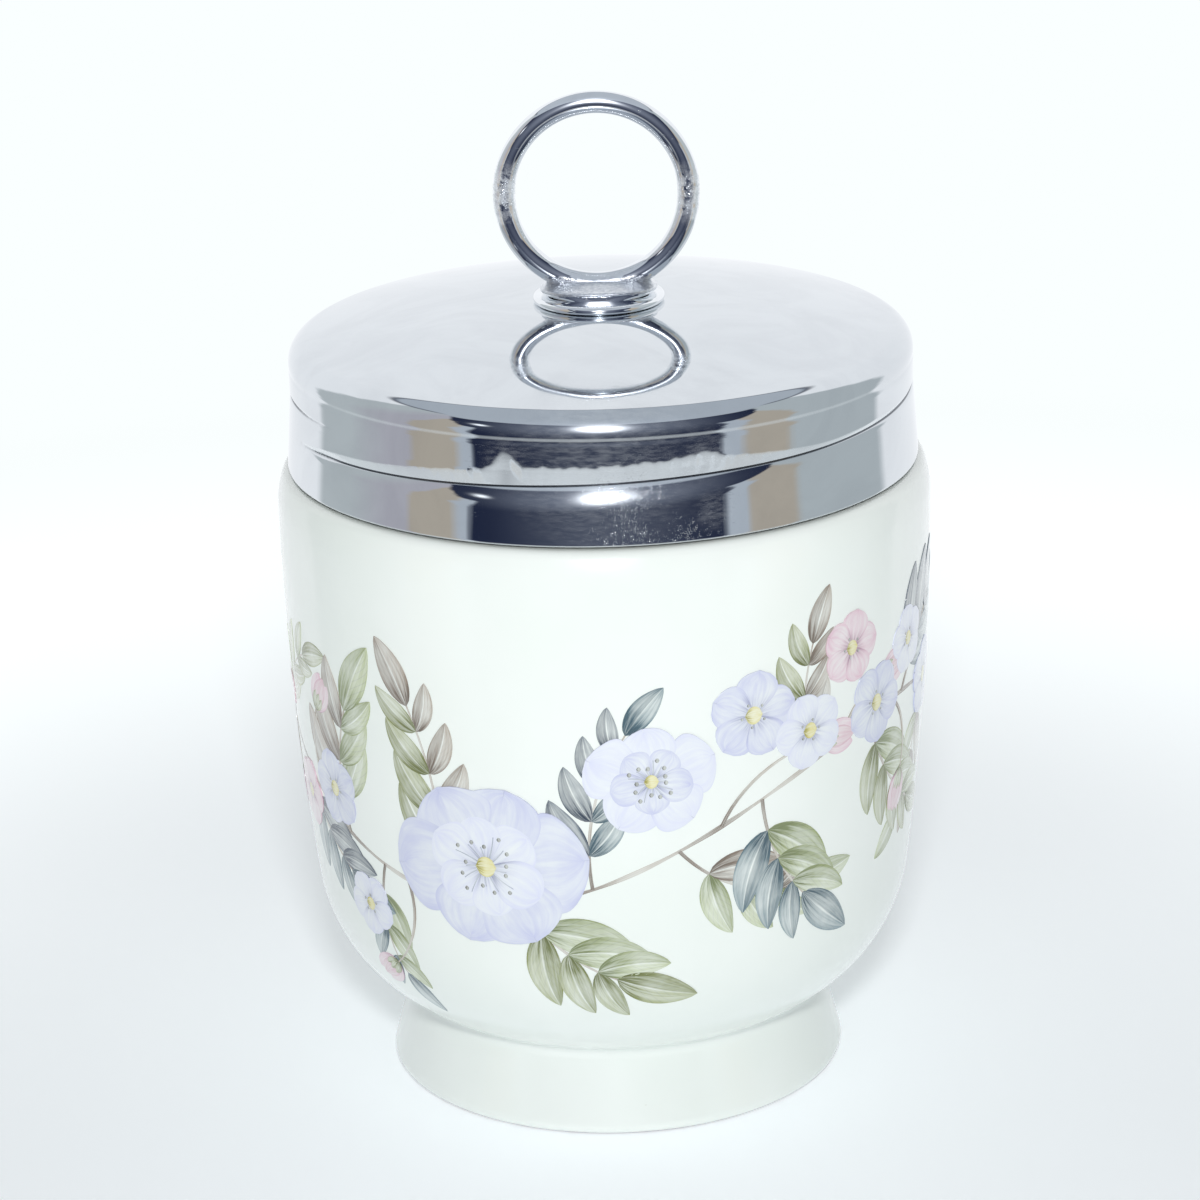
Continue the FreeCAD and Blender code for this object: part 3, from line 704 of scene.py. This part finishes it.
def blade(sheet, start, turn, length, width, tint, curl=0.0, widest=0.45, blunt=0.75, notch=0.0,
          ruffle=0.0, steps=(18, 8)):
    """A leaf or a petal. widest is where along it is widest, blunt how full its ends are."""
    share = np.linspace(0, 1, steps[0] + 1)
    side = np.linspace(-1, 1, steps[1] + 1)
    bulge = share ** (math.log(0.5) / math.log(widest))
    half = width / 2 * np.maximum(np.sin(math.pi * bulge), 0) ** blunt + 0.02
    half = half * (1 + ruffle * np.sin(9 * share + turn))
    cut = 1 - notch * share[:, None] ** 3 * (1 - np.abs(side)) ** 1.5
    middle, angle = swept(start, turn, length, curl, share[:, None] * cut)
    sheet.plate(middle, angle, half, side, share, tint)


def stalk(sheet, start, turn, length, curl, width=0.34, tint=STEM):
    """A thin stroke that tapers towards its end. Returns the end's place and direction."""
    share = np.linspace(0, 1, max(6, round(length)) + 1)
    middle, angle = swept(start, turn, length, curl, share[:, None])
    sheet.plate(middle, angle, width * (0.5 - 0.28 * share), np.array([-1, 0, 1]), share, tint)
    return tuple(middle[-1, 0]), math.degrees(angle[-1, 0])


def spot(sheet, centre, radius, tint, angle=0.0, reach=0.0):
    """A small round dot, at a reach from a centre; the angle in radians."""
    start = (centre[0] + reach * math.cos(angle) - radius, centre[1] + reach * math.sin(angle))
    blade(sheet, start, 0, 2 * radius, 2 * radius, tint, widest=0.5, blunt=0.55, steps=(6, 4))


def sprig(leaves, stems, start, turn, length, pairs, tints, curl, size):
    """A curved stalk with slender leaves in pairs and one at its end."""
    end, heading = stalk(stems, start, turn, length, curl)
    for index in range(pairs):
        part = (index + 1) / (pairs + 0.6)
        place, angle = swept(start, turn, length, curl, np.array([part]))
        for hand in (-1, 1):
            long = size * (1.1 - 0.45 * part) * (1 if hand > 0 else 0.88)
            blade(leaves, tuple(place[0]), math.degrees(angle[0]) + hand * 48, long, long * 0.4,
                  tints[hand > 0], curl=-hand * 30)
    blade(leaves, end, heading, size * 0.85, size * 0.36, tints[0], curl=curl * 0.3)


def bloom(petals, stems, dots, centre, radius, count, turn, tint, inner):
    """An open flower seen a little from the side, with a second, smaller row of petals."""
    squash, filaments = 0.2, 13
    for row, (long, shade, shift) in enumerate([(1.0, tint, 0), (0.62, inner, 180 / count)]):
        for index in range(count):
            angle = turn + shift + 360 * index / count
            reach = radius * long * (1 - squash * abs(math.sin(math.radians(angle))))
            blade(petals, centre, angle, reach, reach * (0.98 - 0.08 * row), shade,
                  curl=14 * math.sin(index * 2.1), widest=0.64, blunt=0.62, notch=0.1, ruffle=0.05,
                  steps=(26, 18))
    top = Print.layer
    for index in range(filaments):
        Print.layer = top
        reach = radius * (0.2 + 0.06 * (index % 3))
        angle = math.radians(turn + 360 * index / filaments)
        stalk(stems, centre, math.degrees(angle), reach, 20, 0.16, DEEP_LILAC)
        spot(dots, centre, 0.2, DOT, angle, reach)
    spot(dots, centre, radius * 0.1, YELLOW)


def floret(petals, dots, centre, radius, turn, tint):
    """A small flower of five round petals."""
    for index in range(5):
        blade(petals, centre, turn + 72 * index, radius, radius * 0.95, tint, widest=0.62, blunt=0.6,
              notch=0.14, steps=(12, 10))
    top = Print.layer
    spot(dots, centre, radius * 0.2, YELLOW)
    for index in range(5):
        Print.layer = top
        spot(dots, centre, 0.13, DOT, math.radians(turn + 36 + 72 * index), radius * 0.27)


def bell(petals, leaves, stems, start, turn, length, size):
    """A nodding pink bud on a thin stalk, in a small cup of sepals."""
    end, heading = stalk(stems, start, turn, length, -70)
    for side, tint in ((-24, PALE_ROSE), (24, PALE_ROSE), (0, ROSE)):
        blade(petals, end, heading + side, size, size * 0.5, tint, curl=-side, widest=0.5, blunt=0.7)
    for side in (-38, 0, 38):
        blade(leaves, end, heading + side, size * 0.5, size * 0.2, OLIVE, curl=-side)


def vine_height(x):
    """The garland's main stem: two slow waves round the bowl."""
    return VINE_HEIGHT - VINE_SWING * np.cos(4 * math.pi * (x + VINE_START) / PRINT_TURN)


def vine(sheet):
    """The main stem, one stroke all round that swells and thins a little."""
    x = np.linspace(-PRINT_TURN / 2, PRINT_TURN / 2, 361)
    angle = np.arctan(np.gradient(vine_height(x), x))[:, None]
    middle = np.stack([x, vine_height(x)], -1)[:, None]
    sheet.plate(middle, angle, 0.19 + 0.05 * np.sin(0.8 * x), np.array([-1, 0, 1]),
                0.3 + 0.2 * np.sin(0.5 * x), STEM)


def make_garland():
    stems, leaves = Print("print_stems", 0.85), Print("print_leaves", 0.9, True)
    petals, dots = Print("print_petals", 0.75), Print("print_dots", 0.95)
    vine(stems)
    for half, (shift, scale) in enumerate(RUNS):
        for index, (x, turn, length, pairs, curl) in enumerate(SPRIGS):
            Print.layer = SPRIG_LAYER + SPRIG_STEP * (index % NEIGHBOURS)
            size = 6.6 + 1.6 * (index * 7 % 3)
            sprig(leaves, stems, (x + shift, vine_height(x)), turn, length * scale, pairs,
                  GREENS[(index + half) % len(GREENS)], curl, size * scale)
        for x, turn, length in BELLS:
            Print.layer = BELL_LAYER
            bell(petals, leaves, stems, (x + shift, vine_height(x)), turn, length * scale,
                 BELL_SIZE * scale)
        for index, (x, up, size, turn, tint) in enumerate(FLORETS):
            Print.layer = FLORET_LAYER + FLORET_STEP * (index % NEIGHBOURS)
            floret(petals, dots, (x + shift, vine_height(x) + up), size * scale, turn, tint)
        Print.layer = BLOOM_LAYER
        for x, v, size, count, turn, tint, inner in BLOOMS:
            bloom(petals, stems, dots, (x + shift, v), size * scale, count, turn, tint, inner)
    for sheet in (stems, leaves, petals, dots):
        sheet.finish()


# ---- Lid shell ----
GROOVE_DEPTH, GROOVE_ABOVE, GROOVE_BELOW, GROOVE_EASE = 0.69, 1.85, 2.25, 0.4
CREASE_DEPTH, CREASE_HALF = 0.1, 0.1
WAIST_DROP, WAIST_DEPTH = 0.45, 0.035
# Along its sweep the groove starts shallow, swells, and ebbs again: shares, and degrees of the change.
GROOVE_BEFORE, GROOVE_AFTER = 0.45, 0.24
GROOVE_SWELL, GROOVE_EBB = (18, 66), (86, 122)
# Unevenness of the slope's upper end: (height, waves in a turn, phase), and dents in it: (height,
# degrees round the lid, reach in degrees).
RIPPLES = [(0.06, 17, 0.4), (0.08, 61, 2.0), (0.09, 143, 0.7), (0.08, 251, 1.9)]
DENTS = [(1.9, 252.6, 2.2), (0.8, 288.0, 3.6)]
LID_SEGMENTS = 720
SEAM = 22
LIP_EDGE, LIP_ROUND = 0.1, 0.03
# Painted shade along the crease: full within the core, gone at the edge, in millimetres from it.
CREASE_SHADE_CORE, CREASE_SHADE_EDGE = 0.04, 0.1


def rolled_groove(angles, height):
    """How far the skirt is pressed in at each angle: a slope above the crease, a round shoulder below
    it, and a fine waist under the lid's own shoulder."""
    waist = np.abs(height - LID_CORNER + WAIST_DROP)
    depth = WAIST_DEPTH * (1 - smoothstep(0, WAIST_DROP, waist))
    turn = np.degrees(angles) % 360
    uneven = sum(size * np.sin(angles * turns + start) for size, turns, start in RIPPLES)
    uneven = uneven + sum(high * np.exp(-((turn - middle) / wide) ** 2) for high, middle, wide in DENTS)
    for above, ends, along in thread_starts(angles, height, CREASE):
        swell = GROOVE_BEFORE + (1 - GROOVE_BEFORE) * smoothstep(*GROOVE_SWELL, along)
        ebb = 1 - (1 - GROOVE_AFTER) * smoothstep(*GROOVE_EBB, along)
        size = ends * swell * ebb
        whole = np.maximum(size, 1e-3)
        rise = 1 - np.clip(above / (GROOVE_ABOVE * whole + np.maximum(uneven, -0.2) * size ** 3), 0, 1)
        upper = (1 + GROOVE_EASE) * rise ** 2 / (rise + GROOVE_EASE)
        below = np.clip(-above / whole, 0, GROOVE_BELOW)
        shoulder = GROOVE_DEPTH * (1 - below / GROOVE_BELOW) ** 2
        pressed = size * np.where(above >= 0, GROOVE_DEPTH * upper, shoulder)
        crease = CREASE_DEPTH * (1 - smoothstep(0, CREASE_HALF, np.abs(above + CREASE_HALF / 2)))
        depth = np.maximum(depth, pressed + crease * np.minimum(1, 3 * size))
    return depth


def thread_climb(angles):
    """How far the newest start has climbed at each angle. Where two starts overlap, it comes back
    down from the older one over the seam."""
    period = 360 / THREAD_STARTS
    along = (np.degrees(angles) - THREAD_ANGLE) % period
    back = period * (1 - smoothstep(0, SEAM, along))
    return THREAD_LEAD * (along + back) / 360


def skirt_radius(height, inward):
    flare = 1 - (height - LID_BOTTOM) / FLARE_HEIGHT
    return LID_RADIUS - inward + LID_FLARE * np.clip(flare, 0, 1)


def lid_shift(radius, height, angles):
    """Both faces of the skirt follow the thread, and so do the mesh's rows. The dome stays."""
    if height > LID_CORNER or radius < LID_RADIUS - SHEET - 0.05:
        return even(radius, height, angles)
    marks = [LID_BOTTOM + 0.3, CREASE - GROOVE_BELOW, CREASE + GROOVE_ABOVE, LID_CORNER]
    up = height + thread_climb(angles) * np.interp(height, marks, [0, 1, 1, 0])
    base = radius - skirt_radius(height, 0) + skirt_radius(up, 0)
    return base - rolled_groove(angles, up), up


def lid_profile(inward):
    """The lid's face from the skirt's edge to the hole, moved in by a distance."""
    dome = DOME_RADIUS - inward
    centre = LID_TOP - DOME_RADIUS
    share = dome / (DOME_RADIUS - LID_SHOULDER)
    edge = (SEAT_RADIUS + (LID_RADIUS - LID_SHOULDER - SEAT_RADIUS) * share,
            centre + (LID_CORNER - centre) * share)
    # The mesh's rows lie close at the crease and wide apart on plain stretches.
    levels = [*np.arange(LID_BOTTOM, CREASE - GROOVE_BELOW, 0.12),
              *np.arange(CREASE - GROOVE_BELOW, CREASE - 0.3, 0.06),
              *np.arange(CREASE - 0.3, CREASE + 0.19, 0.016),
              *np.arange(CREASE + 0.2, CREASE + GROOVE_ABOVE, 0.08),
              *np.arange(CREASE + GROOVE_ABOVE, LID_CORNER - 0.01, 0.1)]
    return [(float(skirt_radius(level, inward)), float(level)) for level in levels] + outline([
        ((LID_RADIUS - inward, LID_CORNER), 0, 0.1, LID_SHOULDER - inward, 1),
        (edge, 0, 0.7, dome, 1),
        ((SEAT_RADIUS, LID_TOP - inward), 0, 0.8),
        ((HOLE, LID_TOP - inward),),
    ])


def make_lid(material):
    outside, inside = lid_profile(0), lid_profile(SHEET)
    outer, inner = outside[0][0], inside[0][0]
    lip = [(inner, LID_BOTTOM + LIP_EDGE), (inner + LIP_ROUND, LID_BOTTOM + LIP_ROUND),
           (inner + LIP_EDGE, LID_BOTTOM), (outer - LIP_EDGE, LID_BOTTOM),
           (outer - LIP_ROUND, LID_BOTTOM + LIP_ROUND)]
    outside, inside = ([p for p in face if p[1] > LID_BOTTOM + LIP_EDGE] for face in (outside, inside))
    lid = lathe("lid", lip + outside + inside[::-1], material, LID_SEGMENTS,
                shift=lid_shift, smooth_angle=60)
    points = np.array([v.co for v in lid.data.vertices]) / MM
    # Painted shade: a dark line along each start's crease, faded in and out with the thread, for the
    # chrome to darken.
    crease_shade = np.zeros(len(points))
    for above, fade, _ in thread_starts(np.arctan2(points[:, 1], points[:, 0]), points[:, 2], CREASE):
        crease_dark = 1 - smoothstep(CREASE_SHADE_CORE, CREASE_SHADE_EDGE, np.abs(above + CREASE_HALF / 2))
        crease_shade = np.maximum(crease_shade, fade * crease_dark)
    set_points(lid, "crease_shade", "FLOAT", "value", crease_shade)
    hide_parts("lid_shell")
    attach(lid, "lid")


# ---- Collar, washer, rivet and ring ----
PAD_PLAN = 2.4


def make_collar(material):
    half = (COLLAR_TOP - LID_TOP) / 2
    flat = COLLAR_RADIUS - half
    profile = line((HOLE, LID_TOP), (flat, LID_TOP), 0.6)
    profile += [(flat + half * math.sin(a), LID_TOP + half - half * math.cos(a))
                for a in np.linspace(0, math.pi, 25)]
    profile += line((flat, COLLAR_TOP), (HOLE, COLLAR_TOP), 0.6)[1:] + [(HOLE, COLLAR_TOP)]
    collar = lathe("ring_collar", profile, material, 160)
    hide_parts("collar")
    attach(collar, "lid")


def make_washer(material):
    profile = outline([
        ((HOLE, WASHER_LOW), 0.06, 0.5),
        ((WASHER_RADIUS, WASHER_LOW), 0.18, 0.1),
        ((WASHER_RADIUS, WASHER_HIGH), 0.18, 0.5),
        ((HOLE, WASHER_HIGH), 0.06, 0.1),
    ], closed=True)
    washer = lathe("washer", profile, material, 96)
    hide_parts("backing_washer")
    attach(washer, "washer")


def make_rivet(material):
    """The ring's shank through collar, lid and washer, spread to a head inside."""
    top = RIVET_LOW + RIVET_HEIGHT
    profile = outline([
        ((0, RIVET_LOW), 0, 0.15, curve_radius(RIVET_HEIGHT, RIVET_RADIUS), 1),
        ((RIVET_RADIUS, top), 0.12, 0.3),
        ((SHANK_RADIUS, top), 0, 0.4),
        ((SHANK_RADIUS, COLLAR_TOP), 0, 0.5),
        ((0, COLLAR_TOP),),
    ])
    rivet = lathe("rivet", profile, material, 96, closed=False)
    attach(rivet, "lid")


def loop_faces(rows, sides, closed):
    """Faces between rows of a tube; an open tube gets a face at each end."""
    faces = []
    for i in range(rows if closed else rows - 1):
        for k in range(sides):
            j, n = (i + 1) % rows, (k + 1) % sides
            faces.append((i * sides + k, j * sides + k, j * sides + n, i * sides + n))
    if not closed:
        faces += [tuple(range(sides - 1, -1, -1)), tuple(range((rows - 1) * sides, rows * sides))]
    return faces


def ring_points(rounds, sides):
    turn = np.arange(rounds)[:, None] * 2 * math.pi / rounds
    angle = np.arange(sides)[None] * 2 * math.pi / sides
    reach = RING_RADIUS + RING_WIRE / 2 * np.cos(angle)
    return np.stack([np.sin(turn) * reach, RING_WIRE / 2 * np.sin(angle) + 0 * turn,
                     RING_CENTRE - np.cos(turn) * reach], -1).reshape(-1, 3)


def foot_points(sides):
    """The ring's foot in oval rows: its ends drawn in under the lip, a round lip, and above it a sweep
    in to the wire."""
    angle = np.arange(sides) * 2 * math.pi / sides
    cosine, sine = np.cos(angle), np.sin(angle)
    lip = COLLAR_TOP + PAD_RISE
    round_off = PAD_EDGE / 2
    sweep_low, sweep_top = lip + PAD_EDGE, RING_CENTRE - RING_RADIUS + 0.7
    sweep_start, narrowing, slim = 0.1, 0.62, PAD_DEPTH / 2 - 0.7
    # Rows: how far in from the pad's ends and from its front and back, and the height.
    rows = [(PAD_NECK * (1 - share) ** 1.6, 0.05 * share - 0.05, COLLAR_TOP + PAD_RISE * share)
            for share in np.linspace(0, 1, 7)]
    for a in np.linspace(0.5, math.pi - 0.5, 8):
        inset = round_off * (1 - math.sin(a))
        rows.append((inset, inset, lip + round_off * (1 - math.cos(a))))
    rows += [(sweep_start + narrowing * (1 - (1 - share) ** 2.2), slim * (1 - (1 - share) ** 2.6),
              sweep_low + (sweep_top - sweep_low) * share) for share in np.linspace(0.05, 1, 16)]
    points = []
    for narrow, shallow, height in rows:
        x = (PAD_WIDTH / 2 - narrow) * np.sign(cosine) * np.abs(cosine) ** (2 / PAD_PLAN)
        y = (PAD_DEPTH / 2 - shallow) * np.sign(sine) * np.abs(sine) ** (2 / PAD_PLAN)
        points.extend(zip(x, y, np.full(sides, height)))
    return points, len(rows)


def make_ring(material):
    rounds, sides, foot_sides = 200, 40, 120
    points = [tuple(p) for p in ring_points(rounds, sides)]
    foot, rows = foot_points(foot_sides)
    faces = loop_faces(rounds, sides, True)
    faces += [tuple(len(points) + i for i in face) for face in loop_faces(rows, foot_sides, False)]
    ring = new_object("lifting_ring", points + foot, faces, material, 60)
    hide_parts("ring_handle")
    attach(ring, "lid")


# ---- Floor and room ----
FLOOR_TONE, FLOOR_WHITE = (1.1, 1.145, 1.18, 1), tone(250, 255, 255)
FLOOR_SIZE, FLOOR_DROP = 2.5, 0.00003
# Lengths on the floor: where the lift behind the part sets in and ends, how far out it reaches, where
# the shaded paper gives way to white, and where the mirrored floor does to the room.
LIFT_FROM, LIFT_TO, LIFT_REACH, LIFT_END = -50 * MM, 40 * MM, 90 * MM, 230 * MM
WHITE_FROM, WHITE_TO = 50 * MM, 240 * MM
MIRROR_FROM, MIRROR_TO = 57 * MM, 237.5 * MM
AMBIENT_CUT = 0.665
FLASH_PLACE = (-0.005, -0.40, 0.235)

DARK, EDGE = tone(36, 44, 68), tone(190, 198, 208)
WARM, MAUVE, COOL = tone(190, 181, 168), tone(188, 187, 196), tone(190, 198, 202)
MIST, WHITE, CEILING = tone(196, 203, 206), (1.0, 1.02, 1.05, 1), tone(186, 194, 204)
# The walls round the room: degrees from the camera's side, rightwards positive, and colour.
WALLS = [
    (-180, WHITE), (-126, WHITE), (-122, MIST), (-104, MIST), (-84, MAUVE), (-74, MAUVE), (-72, WARM),
    (-56, WARM), (-53, EDGE), (-49, EDGE), (-47, DARK), (43, DARK), (45, EDGE), (52, EDGE),
    (55, WARM), (71, WARM), (74, COOL), (118, COOL), (122, WHITE), (180, WHITE)]
WALLS_UNEVEN, WALLS_LEAN = math.radians(8), 0.3
# A dark beam over the side walls, and the ceiling's edge: degrees sideways, then degrees up.
BEAM_SIDES, BEAM_HEIGHTS = (45, 92), (8, 46)
CEILING_SIDES, CEILING_HEIGHTS = (60, 115), (40, 47.5)
SOFT_EDGE = math.radians(3)


def make_floor():
    """A pale disc that turns to plain white with distance. Mirrors see only its inner part."""
    nodes = Nodes("studio_floor")
    where = nodes.place()
    distance = nodes.vector("LENGTH", nodes.vector("MULTIPLY", where, (1, 1, 0)), output="Value")
    behind = nodes.span(nodes.axes(where)[1], LIFT_FROM, LIFT_TO, -0.05, 0.6)
    lift = behind * nodes.span(distance, LIFT_REACH, LIFT_END, 1.0, 0.0)
    paper = nodes.add("ShaderNodeBsdfDiffuse", {"Color": FLOOR_TONE})
    glow = nodes.add("ShaderNodeEmission", {"Color": FLOOR_WHITE, "Strength": lift + 1.0})
    clear = nodes.add("ShaderNodeBsdfTransparent")
    far = nodes.span(distance, WHITE_FROM, WHITE_TO, 0.2, 1.0)
    gone = nodes.span(distance, MIRROR_FROM, MIRROR_TO, 0.1, 1.0) * nodes.ray("Glossy")
    paper = nodes.add("ShaderNodeMixShader", {"Fac": far, 1: paper, 2: glow})
    material = nodes.finish(nodes.add("ShaderNodeMixShader", {"Fac": gone, 1: paper, 2: clear}))
    disc = bmesh.new()
    bmesh.ops.create_circle(disc, cap_ends=True, segments=128, radius=FLOOR_SIZE)
    mesh = bpy.data.meshes.new("floor")
    disc.to_mesh(mesh)
    disc.free()
    mesh.materials.append(material)
    floor = put("floor", mesh)
    floor.location.z = -FLOOR_DROP


def room_walls(nodes, direction, elevation, azimuth):
    """Walls round the room, uneven and leaning outwards, a dark beam over them, and a ceiling."""
    azimuth += (nodes.noise(direction, 6.0, 4.0) - 0.5) * WALLS_UNEVEN
    azimuth *= nodes.math("MAXIMUM", elevation, 0.0) * WALLS_LEAN + 1.0
    stops = [((degrees + 180) / 360, colour) for degrees, colour in WALLS]
    walls = nodes.ramp((azimuth + math.pi) / (2 * math.pi), stops)
    sideways = abs(azimuth)
    beam_foot = nodes.span(sideways, *np.radians(BEAM_SIDES + BEAM_HEIGHTS))
    walls = nodes.mix(nodes.span(elevation - beam_foot, 0, SOFT_EDGE), walls, DARK)
    sides = nodes.span(sideways, *np.radians(CEILING_SIDES))
    wall_top = nodes.span(sides, 0, 1, *np.radians(CEILING_HEIGHTS))
    return nodes.mix(nodes.span(elevation - wall_top, 0, SOFT_EDGE), walls, CEILING)


def make_world():
    """White for the camera, soft white for matt things, and a photographer's room for mirrors: dark
    in front with a haze round the flash, warm and grey sides, white behind, a grey ceiling."""
    nodes = Nodes("studio_room", "worlds")
    direction = nodes.add("ShaderNodeTexCoord", output="Generated")
    x, y, z = nodes.axes(direction)
    azimuth = nodes.math("ARCTAN2", x, y * -1.0)
    room = room_walls(nodes, direction, nodes.math("ARCSINE", z), azimuth)
    flash = (Vector(FLASH_PLACE) - Vector((0, -LID_RADIUS, LID_CORNER)) * MM).normalized()
    near_flash = nodes.vector("DOT_PRODUCT", direction, flash, output="Value")
    haze = nodes.span(near_flash, 0.45, 1.0, smooth=False) ** 3.0
    room = nodes.mix(haze * 0.3, room, tone(225, 235, 255))
    # Bright spots before the camera's side: direction, width, height and colour.
    window = Vector((-0.66, -0.64, 0.4)).normalized()
    for place, wide, high, colour in [(flash, 0.12, 0.19, (5.0, 5.1, 5.3, 1)),
                                      (window, 0.03, 0.05, (1.6, 1.65, 1.7, 1))]:
        across, upward = (x - place.x) / wide, (z - place.z) / high
        glow = nodes.math("EXPONENT", (across * across + upward * upward) * -1.0)
        room = nodes.mix(glow * nodes.span(y, 0.1, -0.1), room, colour, "ADD")
    seen = nodes.mix(nodes.ray("Glossy"), tone(250, 252, 255), room)
    seen = nodes.mix(nodes.ray("Camera"), seen, FLOOR_WHITE)
    strength = nodes.ray("Diffuse") * -AMBIENT_CUT + 1.0
    background = nodes.add("ShaderNodeBackground", {"Color": seen, "Strength": strength})
    bpy.context.scene.world = nodes.finish(background, "ShaderNodeOutputWorld")


# ---- Lamps and camera ----
def area_lamp(name, place, width, height, power, mirrored):
    """A flat lamp that points at the middle of the cup."""
    middle = Vector((0, 0, 45 * MM))
    lamp = bpy.data.lights.new(name, "AREA")
    lamp.shape = "RECTANGLE"
    lamp.size, lamp.size_y = width, height
    lamp.energy = power
    obj = put(name, lamp)
    obj.location = place
    obj.rotation_euler = (middle - Vector(place)).to_track_quat("-Z", "Y").to_euler()
    obj.visible_glossy = mirrored
    obj.visible_camera = False


def make_camera():
    """Where the photographer stood, in millimetres and degrees."""
    distance, height, focal_pixels = 371.3, 173.6, 4079
    heading, pitch, roll = math.radians(-0.103), math.radians(18.96), math.radians(-1.536)
    image_width, sensor = 1200, 36
    camera = bpy.data.cameras.new("camera")
    camera.sensor_width = sensor
    camera.lens = focal_pixels / image_width * sensor
    camera.clip_start = 0.02
    obj = put("camera", camera)
    obj.matrix_world = (Matrix.Translation((0, -distance * MM, height * MM))
                        @ Matrix.Rotation(-heading, 4, "Z")
                        @ Matrix.Rotation(math.pi / 2 - pitch, 4, "X")
                        @ Matrix.Rotation(roll, 4, "Z"))
    bpy.context.scene.camera = obj


# ---- The object and its studio ----
ring_plate, washer_plate = ring_chrome(), washer_chrome()
make_cup(porcelain())
make_garland()
make_lid(lid_chrome())
make_collar(ring_plate)
make_washer(washer_plate)
make_ring(ring_plate)
make_rivet(washer_plate)

make_floor()
make_world()
area_lamp("near_flash", (0.006, -0.33, 0.212), 0.036, 0.024, 0.59, mirrored=False)
area_lamp("flash", FLASH_PLACE, 0.05, 0.022, 0.2, mirrored=True)
make_camera()
bpy.context.scene.view_settings.view_transform = "Standard"
